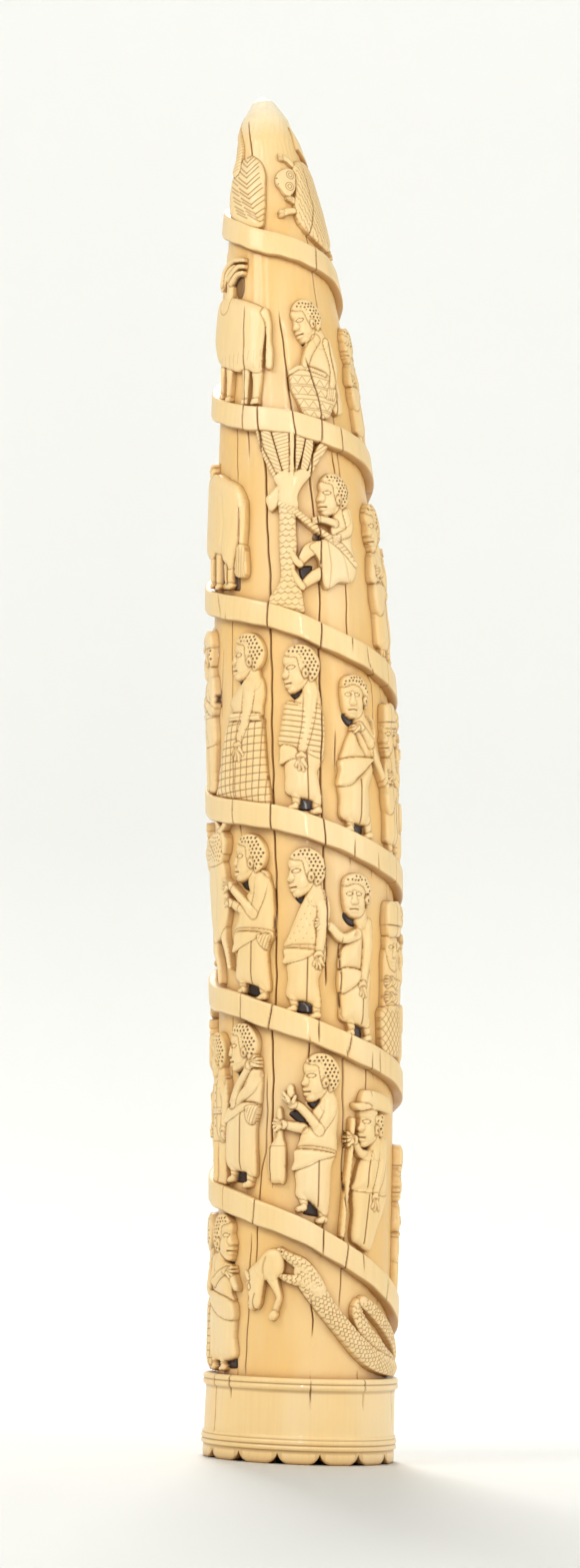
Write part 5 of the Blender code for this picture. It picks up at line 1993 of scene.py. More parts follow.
@dataclass
class PalmClimber(Headed):
    """The climber, who leans back in a twisted rope and sets both feet on the palm."""

    def draw(self) -> None:
        """Draw the legs, the cloth, the body, the rope and the head."""
        # Painted shadow: dark, barely raised patches in the hollows between the limbs stand for the shade
        # there.
        gap = self.seen((2.2, 351.8), (11.3, 351.8), (8.5, 348.0), (3.9, 345.4))
        self.add(Plate(outline=gap, crown=0.35, wall=0.3, grime_and_shade=1.0, moat=0.0, soft=False))
        gap = self.seen((16.0, 366.5), (23.0, 362.0), (17.0, 360.8), (13.0, 363.0))
        self.add(Plate(outline=gap, crown=0.35, wall=0.3, grime_and_shade=0.8, moat=0.0, soft=False))
        self.add(Limb(path=self.seen((15.9, 348.8), (9.1, 346.6), (3.9, 344.0)), radii=(2.3, 2.1, 1.3),
                      crown=4.2,
                      wall=2.5, roll=1.9))
        self.add(Limb(path=self.seen((3.6, 343.4), (0.6, 346.2), (-2.1, 349.9)), radii=(1.2, 1.3, 0.9),
                      crown=4.6,
                      wall=3.2, roll=1.1))
        self.add(Limb(path=self.seen((17.9, 359.3), (9.7, 358.1), (3.0, 353.4)), radii=(2.8, 2.6, 1.4),
                      crown=4.4,
                      wall=2.7, roll=2.3))
        self.add(Limb(path=self.seen((3.0, 352.2), (0.2, 354.0), (-2.3, 357.3)), radii=(1.2, 1.3, 0.9),
                      crown=4.6,
                      wall=3.2, roll=1.1))
        torso = self.seen(
            (29.9, 373.4), (37.8, 376.6), (42.8, 372.5), (42.9, 368.0), (41.7, 360.0), (42.2, 353.8),
            (32.3, 355.9),
            (26.8, 359.7), (25.9, 366.3), (27.9, 370.9),
        )
        self.add(Plate(outline=torso, crown=4.0, wall=2.5, roll=3.0))
        cloth = self.seen(
            (16.4, 361.8), (24.1, 362.6), (32.5, 358.8), (41.8, 354.8), (42.4, 349.9), (37.6, 345.6),
            (28.7, 345.4), (20.8, 342.6), (17.4, 344.9), (15.8, 353.3), (12.4, 356.9), (9.8, 359.5),
        )
        self.add(Plate(outline=cloth, crown=4.5, wall=2.9, roll=3.2, marks=(
            Groove(self.seen((22.0, 361.8), (23.0, 352.0), (21.0, 343.0)), 0.3, 0.3, 0.3),
            Groove(self.seen((31.0, 359.0), (34.0, 352.0), (35.0, 346.0)), 0.3, 0.25, 0.2),
        )))
        self.draw_rope()
        # Painted shadow: a dark, barely raised patch under the chin stands for the shade there.
        self.add(Plate(outline=self.seen((22.0, 374.6), (31.0, 374.0), (31.0, 370.4), (25.0, 371.0)),
                       crown=0.5,
                       wall=0.3, grime_and_shade=1.0, moat=0.0))
        self.add(Limb(path=self.seen((28.6, 368.9), (22.4, 370.2), (17.0, 370.4)), radii=(1.6, 1.5, 1.2),
                      crown=4.6,
                      wall=3.2, roll=1.4))
        self.add(Limb(path=self.seen((38.9, 373.2), (39.6, 366.3), (31.0, 363.6)), radii=(2.1, 1.7, 1.3),
                      crown=4.7,
                      wall=3.4, roll=1.6))
        for spot, lean in (((15.6, 370.4), -1.6), ((29.4, 363.2), -1.9)):
            x, y = self.seen(spot)[0]
            for shift in (-0.9, -0.1, 0.7):
                self.add(Limb(path=((x + 0.8, y + shift), (x + lean, y + shift - 0.6)), radii=(0.55, 0.45),
                              crown=5.0,
                              wall=4.0, roll=0.5, moat=0.3))
        self.draw_head(self.seen((30.4, 380.4))[0], 0.93)

    def draw_rope(self) -> None:
        """Draw the rope, with its strands twisted."""
        path = self.seen(
            (-8.1, 377.0), (0.4, 374.1), (8.2, 370.2), (16.9, 365.7), (24.2, 362.8), (31.8, 359.3),
            (41.8, 352.8),
        )
        twists = []
        line = rounded(path, 1.5)
        for ahead, spot in zip(line[1:], line[:-1]):
            run = (ahead - spot) / np.linalg.norm(ahead - spot)
            side = np.array([-run[1], run[0]])
            twists.append(Groove((tuple(spot - side * 1.6 - run * 0.6), tuple(spot + side * 1.6 + run * 0.9)),
                                 0.24, 0.4, 0.45))
        self.add(Limb(path=path, radii=(1.3,) * 7, crown=4.7, wall=3.4, roll=1.2, marks=tuple(twists)))


@dataclass
class Python(Carving):
    """The great snake at the foot, with its body of leaf-shaped scales and its tail in a loop."""

    def draw(self) -> None:
        """Draw the loop, the body and the jaws."""
        loop = self.seen((84.0, 37.9), (64.0, 42.6), (53.2, 47.1), (45.0, 50.8), (40.1, 54.5), (36.0, 59.1),
                         (36.5, 62.2),
                         (40.1, 63.6))
        tail = self.seen((40.1, 63.6), (48.2, 60.6), (58.8, 56.0), (74.0, 49.5), (89.0, 42.8), (104.0, 38.5))
        body = self.seen(
            (-1.0, 75.0), (2.0, 72.4), (5.2, 69.6), (9.1, 65.7), (16.3, 59.8), (25.8, 53.4), (38.3, 46.0),
            (52.3, 40.8), (74.5, 37.6), (90.0, 37.4), (104.0, 37.4),
        )
        self.add(self.scaled(loop, (3.0, 3.0, 3.1, 3.1, 3.0, 2.7, 2.3, 2.0), 4.1))
        self.add(self.scaled(tail, (2.2, 2.6, 2.7, 2.6, 2.2, 1.4), 4.0))
        self.add(self.scaled(body, (3.6, 4.6, 4.8, 4.3, 3.8, 3.8, 4.0, 4.0, 3.4, 3.0, 2.6), 4.6))
        for path, radii, crown in (
            (((-13.6, 72.9), (-7.6, 71.9), (0.5, 71.0), (6.5, 68.5)), (1.0, 1.8, 2.2, 2.6), 4.5),
            (((-15.2, 83.0), (-8.5, 80.2), (-1.6, 77.6), (4.0, 73.0), (9.0, 68.0)),
             (1.2, 1.9, 2.8, 3.6, 3.4), 4.7),
        ):
            self.add(self.scaled(self.seen(*path), radii, crown)).moat = 0.04
        eye = self.seen((-13.9, 82.6))[0]
        self.forms[-1].marks += (Dots(np.array([eye]), 0.5, 0.6, 0.95),)

    @staticmethod
    def scaled(path: list, radii: Sequence[float], crown: float) -> Limb:
        """Make a stretch of the snake, cut with rows of leaf-shaped scales.

        Args:
            path: The stretch's middle line.
            radii: Its radius at each point.
            crown: The height of its top.

        Returns:
            The stretch.
        """
        line = rounded(np.column_stack([np.array(path, float), radii]), 1.5)
        cuts = []
        for row, (spot, ahead) in enumerate(zip(line[:-1], line[1:])):
            run = (ahead[:2] - spot[:2]) / max(float(np.linalg.norm(ahead[:2] - spot[:2])), 1e-6)
            side = np.array([-run[1], run[0]])
            count = max(2, int(spot[2] * 2.0 / 1.75))
            for step in range(count):
                share = (step + (0.75 if row % 2 else 0.25)) / count * 2.0 - 1.0
                jog = 0.22 * math.sin(7.3 * row + 4.1 * step)
                middle = spot[:2] + side * (share * spot[2] * 0.94) + run * jog
                cuts.append(Groove([tuple(middle + run * ahead_by + side * aside) for ahead_by, aside in
                                    ((-0.35, -0.8), (0.35, -0.25), (0.45, 0.3), (-0.15, 0.85))], 0.25, 0.55,
                                    0.5, True))
        return Limb(path=path, radii=radii, crown=crown, wall=2.6, roll=max(radii) * 0.9, marks=tuple(cuts),
                    moat=0.6)


@dataclass
class Antelope(Carving):
    """The antelope that hangs from the snake's jaws."""

    def draw(self) -> None:
        """Draw its leg, body and head."""
        leg = self.seen((-20.9, 73.7), (-17.5, 68.8), (-15.3, 64.8), (-17.0, 61.0), (-18.2, 58.6))
        self.add(Limb(path=leg, radii=(2.8, 1.6, 1.05, 1.0, 1.1), crown=3.9, wall=2.2, roll=1.4))
        x, y = self.seen((-18.9, 57.6))[0]
        self.add(Oval(centre=(x, y), size=(2.2, 1.6), tilt=50.0, crown=3.9, wall=2.3, roll=1.3))
        head = self.seen(
            (-26.0, 80.0), (-32.5, 77.2), (-36.8, 74.6), (-38.2, 70.9), (-36.8, 67.2), (-36.0, 64.3),
            (-36.2, 60.6),
            (-33.5, 59.4), (-31.8, 60.5), (-29.9, 60.0), (-27.6, 62.0), (-26.5, 66.2), (-25.5, 69.9),
            (-24.0, 74.6),
        )
        eye, nostril = self.seen((-35.4, 68.6), (-35.2, 61.4))
        lip = self.seen((-32.0, 60.6), (-32.2, 63.0), (-31.0, 66.0))
        self.add(Plate(outline=head, crown=3.9, wall=2.2, roll=3.2, marks=(
            Almond(eye, 1.1, 1.5, 0.0), Dots(np.array([nostril]), 0.3, 0.3, 0.7),
            Groove(lip, 0.3, 0.5, 0.5, True),
            Groove(self.seen((-37.6, 71.6), (-35.6, 71.4), (-34.0, 68.2)), 0.3, 0.45, 0.35, True),
        )))
        body = self.seen(
            (-13.8, 82.4), (-20.6, 83.6), (-25.2, 82.0), (-29.2, 78.8), (-31.4, 76.1), (-26.9, 72.1),
            (-25.0, 71.3),
            (-22.9, 71.6), (-20.2, 71.4), (-16.4, 72.3), (-12.6, 75.5),
        )
        self.add(Plate(outline=body, crown=4.3, wall=2.2, roll=4.2, moat=0.12, marks=(
            Groove(self.seen((-24.0, 80.4), (-25.4, 76.9), (-25.2, 71.9)), 0.5, 0.6, 0.3, True),
        )))
        ear = self.seen((-38.6, 74.8), (-37.0, 73.6), (-35.8, 71.6))
        self.add(Limb(path=ear, radii=(0.5, 0.9, 0.7), crown=4.3, wall=3.0, roll=0.8))


@dataclass
class HangingCarcass(Carving):
    """The small carcass carried by one of the figures, hung by its crossed feet."""

    def draw(self) -> None:
        """Draw the crossed feet, the legs, the long body and the folded head."""
        for path in (((-67.0, 254.4), (-62.0, 250.0), (-56.0, 246.4)),
                     ((-52.6, 254.0), (-58.0, 250.2), (-66.0, 246.6))):
            self.add(Limb(path=self.seen(*path), radii=(1.0, 1.1, 1.4), crown=3.9, wall=2.6, roll=0.9))
        for path in (((-60.6, 212.6), (-59.4, 206.1), (-56.4, 201.2), (-53.9, 194.6)),
                     ((-71.4, 207.6), (-70.6, 200.8), (-67.0, 196.5), (-65.5, 189.2))):
            self.add(Limb(path=self.seen(*path), radii=(2.3, 1.7, 1.3, 1.0), crown=3.9, wall=2.4, roll=1.4))
        body = self.seen(
            (-76.4, 238.8), (-64.0, 239.6), (-58.2, 235.8), (-56.5, 230.8), (-55.1, 225.7), (-53.8, 220.7),
            (-54.3, 216.8), (-57.5, 211.0), (-62.7, 207.2), (-70.2, 205.1), (-74.2, 209.2), (-76.6, 214.3),
            (-78.3, 221.8), (-79.9, 229.4),
        )
        self.add(Plate(outline=body, crown=4.4, wall=2.3, roll=3.8, marks=(
            Groove(self.seen((-68.0, 236.0), (-64.0, 226.0), (-66.0, 214.0)), 0.8, 0.3, 0.08, True),
        )))
        head = self.seen((-68.5, 248.6), (-79.4, 246.5), (-90.0, 241.5), (-80.0, 236.3), (-62.5, 235.9),
                         (-56.9, 239.3),
                         (-57.3, 244.6), (-60.2, 247.8))
        twist = rounded(head, closed=True)
        self.add(Plate(outline=head, crown=4.7, wall=2.8, roll=2.8, marks=(
            Dots(stipple(twist, 1.9, 0.7, 0.5), 0.45, 0.5, 0.6),
            Groove(self.seen((-74.0, 245.6), (-66.0, 240.0)), 0.3, 0.5, 0.6),
        )))
        self.add(Limb(path=self.seen((-57.4, 247.7), (-55.4, 244.6), (-56.0, 240.6)), radii=(0.8, 1.3, 0.7),
                      crown=4.8,
                      wall=3.4, roll=1.0))


def woven_sheet(name: str, columns: int, rows: int) -> bpy.types.Object:
    """Add a grid of points, row by row, to be laid on the tusk.

    Args:
        name: The name.
        columns: Points in a row.
        rows: How many rows.

    Returns:
        The grid.
    """
    bpy.ops.object.select_all(action="DESELECT")
    bpy.ops.mesh.primitive_grid_add(x_subdivisions=columns - 1, y_subdivisions=rows - 1, size=2.0)
    piece = bpy.context.object
    piece.name = piece.data.name = name
    return piece


def close_sheet(piece: bpy.types.Object, cap: bool = False) -> None:
    """Merge a sheet's meeting edges, cap what is left open and face it outwards.

    Args:
        piece: The object.
        cap: Whether to cap what is left open.
    """
    only(piece)
    bpy.ops.object.mode_set(mode="EDIT")
    bpy.ops.mesh.select_all(action="SELECT")
    bpy.ops.mesh.remove_doubles(threshold=0.000002)
    bpy.ops.mesh.select_all(action="DESELECT")
    if cap:
        bpy.ops.mesh.select_mode(type="EDGE")
        bpy.ops.mesh.select_non_manifold(extend=False, use_wire=False, use_multi_face=False,
                                         use_non_contiguous=False, use_verts=False)
        bpy.ops.mesh.edge_face_add()
    bpy.ops.mesh.select_all(action="SELECT")
    bpy.ops.mesh.normals_make_consistent(inside=False)
    bpy.ops.object.mode_set(mode="OBJECT")


def crack_columns(spacing: float) -> tuple:
    """Set out columns round the tusk, with a few close together along every crack.

    Args:
        spacing: How far apart the others are, in degrees.

    Returns:
        The columns' angles in degrees at mid-height, and the cracks' own.
    """
    middles = np.array([math.degrees(float(crack.centre(np.array([275.0]))[0])) for crack in CRACKS])
    plain = np.arange(-90.0, 270.0, spacing)
    away = np.abs((plain[:, None] - middles + 180.0) % 360.0 - 180.0).min(1)
    close = [middle + shift for middle in middles for shift in (-1.7, -0.9, -0.45, 0.0, 0.45, 0.9, 1.7)]
    columns = np.sort(np.concatenate([plain[away > 2.2], close]))
    return columns, middles


@dataclass
class Ground:
    """The tusk itself: the cut-back ground behind the carvings, and its hollow root.

    Args:
        spacing: The distance between columns of points, in degrees.
        row: The distance between rows of points.
        low: The height at which it enters the collar.
        hollow: The hollow root, as (radius, height).
    """

    spacing: float = 1.25
    row: float = 2.4
    low: float = 30.0
    hollow: tuple = ((32.6, 0.0), (30.5, 40.0), (19.5, 105.0), (0.0, 150.0))

    def build(self) -> bpy.types.Object:
        """Build the shaft.

        Returns:
            The finished piece.
        """
        reference, middles = crack_columns(self.spacing)
        around = np.concatenate([reference, reference[:1] + 360.0])
        rows = np.concatenate([np.arange(self.low, 530.0, self.row), np.linspace(530.0, 551.0, 22)])
        inner = np.linspace(150.0, self.low, 14)
        hollow = np.array(sorted(self.hollow, key=lambda spot: spot[1]))
        inner_radius = np.interp(inner, hollow[:, 1], hollow[:, 0])
        heights = np.concatenate([inner, rows])
        radii = np.concatenate([inner_radius, TUSK.ground(rows)])
        radii[0] = radii[-1] = 0.0
        piece = woven_sheet("shaft_ground", len(around), len(heights))
        turn, height = np.meshgrid(around, heights)
        radius = np.repeat(radii[:, None], len(around), 1)
        refs = np.concatenate([middles - 360.0, middles, middles + 360.0])
        for index, level in enumerate(heights):
            here = np.array([math.degrees(float(crack.centre(np.array([level]))[0])) for crack in CRACKS])
            here = middles + (here - middles + 180.0) % 360.0 - 180.0
            turn[index] = np.interp(around, refs, np.concatenate([here - 360.0, here, here + 360.0]))
        angle, height, radius = np.radians(turn).ravel(), height.ravel(), radius.ravel()
        outside = np.repeat(np.arange(len(heights)) >= len(inner), len(around))
        cut, dark = crack_marks(angle, height, np.maximum(radius, 1.0))
        tooled = 0.10 * np.sin(angle * 37.0 + height * 0.9) * np.sin(height * 1.7 + angle * 5.0)
        radius = np.where(outside & (radius > 0.0), radius - cut - np.minimum(tooled + 0.1, 0.2), radius)
        set_points(piece, TUSK.place(angle, height, radius))
        # Wear values above 1 make the tip paler, partly for wear and partly as a painted highlight.
        tip = np.clip((height - 508.0) / 24.0, 0.0, 1.6)
        write_value(piece, "wear", np.where(outside, tip, 0.1))
        # The inside of the hollow root is darker than the outside.
        write_value(piece, "grime_and_shade", np.where(outside, dark, 0.3))
        close_sheet(piece)
        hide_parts(NODE)
        return finish_piece(piece)


@dataclass
class Ledge:
    """The raised band that winds round the tusk and carries the figures.

    Args:
        profile: Its section, as (height over the ground, distance below its top edge).
        spacing: The distance between columns of points, in degrees.
    """

    profile: tuple = (
        (-1.2, -0.3), (0.6, -0.2), (3.2, -0.1), (3.75, -0.3), (3.98, -0.85), (4.02, -1.7), (4.03, -3.2),
        (4.04, -5.0), (4.03, -6.8), (4.02, -8.4), (3.96, -9.4), (3.6, -10.05), (3.0, -10.3), (0.6, -10.4),
        (-1.2, -10.5),
    )
    spacing: float = 0.8

    def build(self, name: str, start: float, end: float) -> bpy.types.Object:
        """Build one stretch of the ledge.

        Args:
            name: The piece's name.
            start: The turn at which it starts, in degrees.
            end: The turn at which it ends.

        Returns:
            The finished piece.
        """
        turns = [start, end]
        plain = np.arange(start + self.spacing, end - self.spacing / 2, self.spacing)
        middles = []
        for coil in range(-2, 7):
            for crack in CRACKS:
                turn = 0.0
                for _ in range(4):
                    level = float(TUSK.ledge_top(360.0 * coil + turn)) - 5.0
                    turn = math.degrees(float(crack.centre(np.array([level]))[0]))
                if start + 2.0 < 360.0 * coil + turn < end - 2.0:
                    middles.append(360.0 * coil + turn)
        middles = np.array(sorted(middles))
        away = np.abs(plain[:, None] - middles).min(1) if len(middles) else np.full(len(plain), 9.0)
        close = [middle + shift for middle in middles for shift in (-1.5, -0.9, -0.45, 0.0, 0.45, 0.9, 1.5)]
        turns = np.sort(np.concatenate([turns, plain[away > 1.9], close]))
        section = np.array(self.profile)
        section = np.vstack([section, section[:1]])
        piece = woven_sheet(name, len(turns), len(section))
        turn = np.repeat(turns[None, :], len(section), 0)
        rise = np.repeat(section[:, :1], len(turns), 1)
        fall = np.repeat(section[:, 1:], len(turns), 1)
        wave = 0.22 * np.sin(np.radians(turn) * 6.3) + 0.14 * np.sin(np.radians(turn) * 17.0 + 1.0)
        height = TUSK.ledge_top(turn) + fall * 10.4 / 10.5 + np.where(fall < -9.0, wave, 0.4 * wave)
        angle, height = np.radians(turn).ravel(), height.ravel()
        share = TUSK.depth(height) / TUSK.full_relief
        cut, dark = crack_marks(angle, height, TUSK.old_radius(height))
        rise = rise.ravel()
        out = rise > 0.0
        radius = TUSK.ground(height) + rise * np.where(out, share,
                                                       1.0) - np.where(out, np.minimum(cut, 0.9), 0.0)
        set_points(piece, TUSK.place(angle, height, radius))
        write_value(piece, "wear", np.clip((rise - 0.5) / 3.0, 0.0, 1.0))
        # Painted shade: the underside of the ledge's lower edge is darkened where its shadow falls.
        under = np.where((fall.ravel() < -9.7) & (rise < 3.8), 0.5, 0.0)
        write_value(piece, "grime_and_shade", np.maximum(dark, under))
        close_sheet(piece, cap=True)
        return finish_piece(piece)


@dataclass
class Collar:
    """The plain waisted collar with its rolls, and the scalloped rim that it stands on.

    Args:
        outside: Its section from the top down to the rim, as (radius, height).
        hollow: The hollow root, as (radius, height).
        lobes: How many scallops the rim has.
        notch: The cut between two scallops, as (distance from its middle, height).
    """

    outside: tuple = (
        (32.5, 33.0), (34.6, 33.4), (37.8, 33.5), (38.5, 33.1), (38.88, 32.4), (38.8, 31.7), (38.3, 31.25),
        (38.8, 30.8), (38.88, 30.0), (38.6, 29.2), (38.0, 28.8), (37.6, 28.3), (37.55, 27.2), (37.6, 24.0),
        (37.7, 20.5), (37.75, 17.0), (37.8, 13.5), (37.8, 11.3), (37.9, 10.9), (38.4, 10.6), (38.55, 10.1),
        (38.3, 9.6), (38.7, 9.2), (38.88, 8.6), (38.8, 7.9), (38.2, 7.45), (38.7, 7.0), (38.88, 6.4),
        (38.7, 5.7),
        (38.1, 5.3), (37.9, 5.05),
    )
    hollow: tuple = ((32.6, 0.0), (30.5, 40.0))
    lobes: int = 14
    notch: tuple = ((0.0, 4.4), (0.5, 2.9), (1.2, 1.8), (2.4, 0.8), (4.3, 0.0))

    def build(self) -> bpy.types.Object:
        """Build the collar.

        Returns:
            The finished piece.
        """
        reference, _ = crack_columns(0.72)
        seams = [(n + 0.5) * 360.0 / self.lobes - 180.0 for n in range(self.lobes)]
        seams = [(seam + 180.0) % 360.0 - 180.0 for seam in seams]
        close = [seam + shift for seam in seams for shift in (-0.5, 0.0, 0.5)]
        away = np.abs((reference[:, None] - np.array(seams) + 180.0) % 360.0 - 180.0).min(1)
        around = np.sort(np.concatenate([reference[away > 0.62], close]))
        around = np.concatenate([around, around[:1] + 360.0])
        angle = np.radians(around)
        from_seam = np.abs((around[:, None] - np.array(seams) + 180.0) % 360.0 - 180.0).min(1)
        distance = np.radians(from_seam) * 38.8
        notch = np.array(self.notch)
        rim = np.interp(distance, notch[:, 0], notch[:, 1])
        rows = [(np.full(len(around), radius), np.full(len(around), height)) for radius,
                height in self.outside]
        bulge = 0.35 * np.clip(distance / 3.5, 0.0, 1.0) ** 0.5
        for share in (0.25, 0.5, 0.75, 0.93, 1.0):
            height = 5.0 * (1.0 - share) + np.minimum(rim, 4.9) * share
            edge = -0.45 if share == 1.0 else 0.0
            rows.append((37.85 + bulge * math.sin(math.pi * min(share, 0.8)) + edge * np.ones(len(around)),
                         height))
        rows.append((np.full(len(around), 36.8), np.minimum(rim, 4.9)))
        rows.append((np.full(len(around), 33.2), np.minimum(rim, 4.9)))
        rows.append((np.full(len(around), 32.55), np.minimum(rim, 4.9) + 0.3))
        for height, radius in ((5.6, 32.3), (12.0, 31.97), (22.0, 31.45), (32.0, 30.92)):
            rows.append((np.full(len(around), radius), np.full(len(around), height)))
        rows.append(rows[0])
        piece = woven_sheet("base_collar", len(around), len(rows))
        radius = np.array([row[0] for row in rows]).ravel()
        height = np.array([row[1] for row in rows]).ravel()
        angle = np.tile(angle, len(rows))
        cut, dark = crack_marks(angle, height, radius)
        radius = np.where(radius > 37.4, radius - 0.8 * cut, radius)
        level = np.tile(rim, len(rows))
        set_points(piece, TUSK.place(angle, height, radius))
        inner = radius < 36.6
        # The ivory darkens along the grooves between the rolls, with one more line where the rolls meet.
        creases = np.exp(-((height - 31.25) / 0.3) ** 2) + np.exp(-((height - 7.45) / 0.3) ** 2)
        creases += (
            0.7 * np.exp(-((height - 9.6) / 0.25) ** 2)
            + 0.8 * np.exp(-((height - 28.5) / 0.35) ** 2)
            + 0.8 * np.exp(-((height - 5.2) / 0.35) ** 2)
        )
        seam = np.where((height < 5.0) & (level > 1.0), 0.22, 0.0)
        write_value(piece, "wear", np.where(inner, 0.15, 0.85))
        write_value(piece, "grime_and_shade", np.clip(np.maximum(dark, np.maximum(0.55 * creases, seam)), 0.0, 1.0))
        close_sheet(piece)
        return finish_piece(piece)


@dataclass(frozen=True)
class View:
    """The camera's place, in millimetres, and its turn about its own line of sight.

    Args:
        target: What it looks at.
        distance: How far away it stands.
        rise: How far it looks down.
        roll: How far it is turned about its line of sight.
        lens: Its focal length.
    """

    target: tuple = (-7.84, -8.8, 268.23)
    distance: float = 3000.0
    rise: float = math.radians(-1.3)
    roll: float = math.radians(2.26)
    lens: float = 172.69

    def build(self) -> None:
        """Add the camera."""
        ahead = np.array([0.0, math.cos(self.rise), -math.sin(self.rise)])
        side = np.array([1.0, 0.0, 0.0])
        above = np.array([0.0, math.sin(self.rise), math.cos(self.rise)])
        right = math.cos(self.roll) * side + math.sin(self.roll) * above
        up = -math.sin(self.roll) * side + math.cos(self.roll) * above
        spot = (np.array(self.target) - ahead * self.distance) * METRE
        bpy.ops.object.camera_add(location=tuple(spot))
        camera = bpy.context.object
        camera.name = "photo_camera"
        matrix = np.eye(4)
        matrix[:3, 0], matrix[:3, 1], matrix[:3, 2], matrix[:3, 3] = right, up, -ahead, spot
        camera.matrix_world = Matrix(matrix.tolist())
        camera.data.lens = self.lens
        camera.data.sensor_width = 36.0
        camera.data.sensor_fit = "AUTO"
        camera.data.clip_end = 50.0
        bpy.context.scene.camera = camera


@dataclass
class Studio:
    """A closed room of pale paper, curved at the foot of its back wall, and soft lights.

    The paper shows from inside only, so that a camera outside the room looks in through it.

    Args:
        floor_colour: The paper's colour.
        air: The colour of the light from outside.
        air_strength: How strong that light is.
        room: The room's width, in metres as all below.
        room_y: The middle of its floor, from front to back.
        sweep_steps: How many bends the sweep has.
        sweep_step: The length of each.
        wall: How far the walls go on above the sweep.
        paper_roughness: How matt the paper is.
    """

    floor_colour: tuple = (0.865, 0.868, 0.852, 1.0)
    air: tuple = (1.0, 1.0, 0.99, 1.0)
    air_strength: float = 0.38
    room: float = 6.0
    room_y: float = -1.4
    sweep_steps: int = 12
    sweep_step: float = 0.12
    wall: float = 3.0
    paper_roughness: float = 0.9

    def build(self) -> None:
        """Add the floor and the lights."""
        self.build_floor()
        self.add_light("tall_window", (0.06, -1.70, 0.85), (0.07, 1.3), 9.5, (1.0, 0.985, 0.95))
        self.add_light("left_sheet", (-1.15, -1.0, 1.35), (0.7, 0.7), 12.5, (1.0, 0.98, 0.95),
                       (0.0, 0.0, 0.38))
        self.add_light("right_fill", (1.5, -0.9, 0.8), (0.9, 1.2), 10.0, (1.0, 0.975, 0.94))
        self.add_light("back_top", (-0.16, 1.25, 1.4), (0.4, 0.4), 15.0, (1.0, 0.995, 0.98))
        self.add_light("backdrop_glow", (0.0, 0.9, 2.6), (3.2, 0.8), 38.0, (1.0, 1.0, 0.99), (0.0, 3.2, 1.6))
        world = bpy.data.worlds.new("studio_air")
        world.use_nodes = True
        world.node_tree.nodes["Background"].inputs["Color"].default_value = self.air
        world.node_tree.nodes["Background"].inputs["Strength"].default_value = self.air_strength
        bpy.context.scene.view_settings.view_transform = "Standard"
        bpy.context.scene.world = world

    def build_floor(self) -> None:
        """Add the floor, swept up behind and on into walls and a lid that face outward."""
        bpy.ops.object.select_all(action="DESELECT")
        bpy.ops.mesh.primitive_plane_add(size=self.room, location=(0.0, self.room_y, 0.0))
        floor = bpy.context.object
        floor.name = "studio_floor"
        bpy.ops.object.transform_apply(location=True, rotation=True, scale=True)
        bpy.ops.object.mode_set(mode="EDIT")
        bpy.ops.mesh.select_mode(type="EDGE")
        mesh = bmesh.from_edit_mesh(floor.data)
        for line in mesh.edges:
            line.select = all(spot.co.y > 1.0 for spot in line.verts)
        bmesh.update_edit_mesh(floor.data)
        for step in range(self.sweep_steps):
            turn = math.radians(90.0 / self.sweep_steps * (step + 0.5))
            bpy.ops.mesh.extrude_region_move(TRANSFORM_OT_translate={
                "value": (0.0, self.sweep_step * math.cos(turn), self.sweep_step * math.sin(turn)),
            })
        bpy.ops.mesh.extrude_region_move(TRANSFORM_OT_translate={"value": (0.0, 0.0, self.wall)})
        bpy.ops.object.mode_set(mode="OBJECT")
        only(floor)
        bpy.ops.object.shade_smooth()
        paper = bpy.data.materials.new("studio_paper")
        paper.use_nodes = True
        shader = paper.node_tree.nodes["Principled BSDF"]
        shader.inputs["Base Color"].default_value = self.floor_colour
        shader.inputs["Roughness"].default_value = self.paper_roughness
        tree = paper.node_tree
        sides = tree.nodes.new("ShaderNodeNewGeometry")
        clear = tree.nodes.new("ShaderNodeBsdfTransparent")
        choice = tree.nodes.new("ShaderNodeMixShader")
        tree.links.new(sides.outputs["Backfacing"], choice.inputs[0])
        tree.links.new(clear.outputs["BSDF"], choice.inputs[1])
        tree.links.new(shader.outputs["BSDF"], choice.inputs[2])
        tree.links.new(choice.outputs["Shader"], tree.nodes["Material Output"].inputs["Surface"])
        floor.data.materials.append(paper)

    @staticmethod
    def add_light(
        name: str, spot: tuple, size: tuple, power: float, colour: tuple, aim: tuple = (0.0, 0.0, 0.27),
    ) -> None:
        """Add a soft rectangular light.

        Args:
            name: Its name.
            spot: Where it is, in metres.
            size: Its width and height.
            power: Its power in watts.
            colour: Its colour.
            aim: What it faces, which is the tusk unless it is said.
        """
        bpy.ops.object.light_add(type="AREA", location=spot)
        light = bpy.context.object
        light.name = name
        light.data.shape = "RECTANGLE"
        light.data.size, light.data.size_y = size
        light.data.energy = power
        light.data.color = colour
        away = np.array(spot) - np.array(aim)
        light.rotation_euler = (
            math.atan2(math.hypot(away[0], away[1]), away[2]), 0.0, math.atan2(away[0], -away[1]),
        )


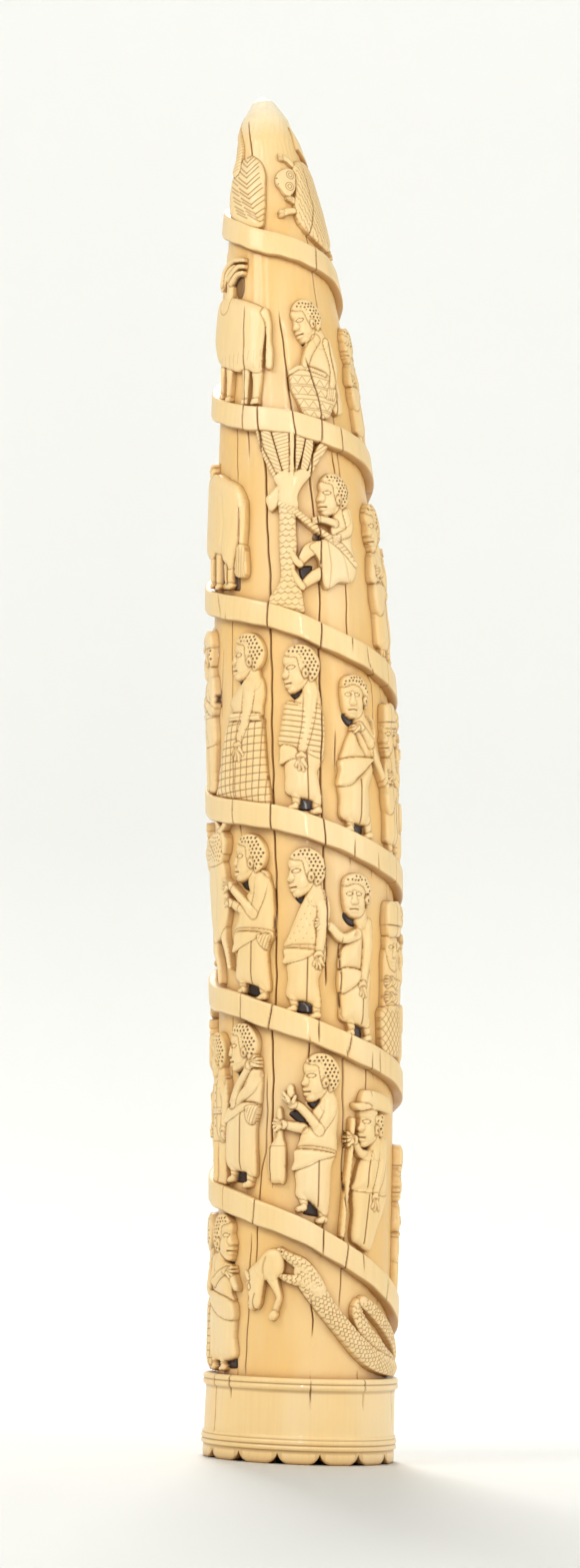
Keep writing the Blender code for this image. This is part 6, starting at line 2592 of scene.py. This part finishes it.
def procession() -> list:
    """List the people of the procession, first those of the front, then the others from the top.

    Returns:
        The people's carvings.
    """
    wrap, bell, long, trousers = Dress.WRAP, Dress.BELL, Dress.LONG, Dress.TROUSERS
    down, chest, raised, staff = Arms.DOWN, Arms.CHEST, Arms.RAISED, Arms.STAFF
    rows = (
        (112, wrap, "HAIR", down, 43), (232, wrap, "HAIR", down, 55), (437, wrap, "HAIR", chest, 50),
        (474, wrap, "LOAD", raised, 53), (512, wrap, "HAIR", staff, 60), (553, bell, "HAIR", down, 60),
        (593, wrap, "CAP", chest, 60), (793, wrap, "HAIR", chest, 66), (828, wrap, "LOAD", raised, 60),
        (863, bell, "HAIR", chest, 63), (897, trousers, "CAP", staff, 64), (931, long, "LOAD", raised, 60),
        (963, wrap, "HAIR", down, 64), (1001, trousers, "CAP", chest, 66), (1150, wrap, "TALL", chest, 58),
        (1179, wrap, "LOAD", raised, 60), (1216, bell, "HAIR", chest, 64), (1253, wrap, "HAIR", staff, 64),
        (1290, trousers, "CAP", down, 64), (1328, long, "LOAD", raised, 60), (1540, wrap, "LOAD", raised, 60),
        (1578, bell, "HAIR", down, 64), (1616, trousers, "CAP", staff, 64), (1654, wrap, "HAIR", chest, 64),
        (1692, wrap, "LOAD", raised, 60), (1731, trousers, "HAIR", down, 61),
        (1897, trousers, "TALL", chest, 60),
        (1931, bell, "HAIR", down, 64), (1965, wrap, "LOAD", raised, 60), (1999, long, "CAP", chest, 64),
        (2033, wrap, "HAIR", staff, 64), (2066, bell, "HAIR", chest, 64),
    )
    people = [
        Person(name=f"front_figure_{index + 1:02d}", turn=float(turn), size=size, way=way, parts=parts)
        for index, (turn, size, way, parts) in enumerate(FRONT)
    ]
    for index, (turn, dress, hat, arms, stature) in enumerate(rows):
        head = "face" if index % 3 == 0 else "head"
        parts = DRESSES[dress] + FAR_ARMS[arms] + (f"{head} -1 54.6 {index % 4 * 3} {hat}",) + NEAR_ARMS[arms]
        people.append(Person(name=f"figure_{index + 1:02d}", turn=float(turn), size=stature / 64.5, cell=0.36,
                             parts=parts))
    return people


def creatures() -> list:
    """List the animals and the things that stand between the people.

    Returns:
        The carvings.
    """
    return [
        LongNeckedBird(name="long_necked_bird", turn=-42.0, foot=491.0),
        ManedBeast(name="maned_beast", turn=45.0, foot=483.0),
        GrazingOx(name="ox_upper", turn=-40.0, foot=419.0),
        Drummer(name="drummer_with_drum", turn=22.0, foot=412.0),
        StandingOx(name="ox_lower", turn=-57.0, foot=345.0),
        Palm(name="palm", turn=0.0, foot=334.0),
        PalmClimber(name="palm_climber", turn=20.0, foot=343.0),
        HangingCarcass(name="hanging_carcass", turn=-62.0, foot=188.0),
        Python(name="python", turn=25.0, foot=33.0),
        Antelope(name="antelope", turn=-24.0, foot=56.0),
    ]


def main() -> None:
    """Build the tusk, report each piece and measure the result."""
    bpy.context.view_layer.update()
    View().build()
    Studio().build()
    Ground().build()
    Collar().build()
    ledge = Ledge()
    for index, (start, end) in enumerate(
        ((-300.0, 60.0), (60.0, 420.0), (420.0, 780.0), (780.0, 1140.0), (1140.0, 1500.0),
         (1500.0, 1860.0), (1860.0, 2010.0)),
    ):
        ledge.build(f"ledge_coil_{index + 1}", start, end)
    for carving in creatures() + procession():
        carving.build()
    faces = sum(len(piece.data.loop_triangles) for piece in bpy.data.objects if piece.type == "MESH")
    log.info("triangles in all: %d", faces)


if __name__ == "__main__":
    main()
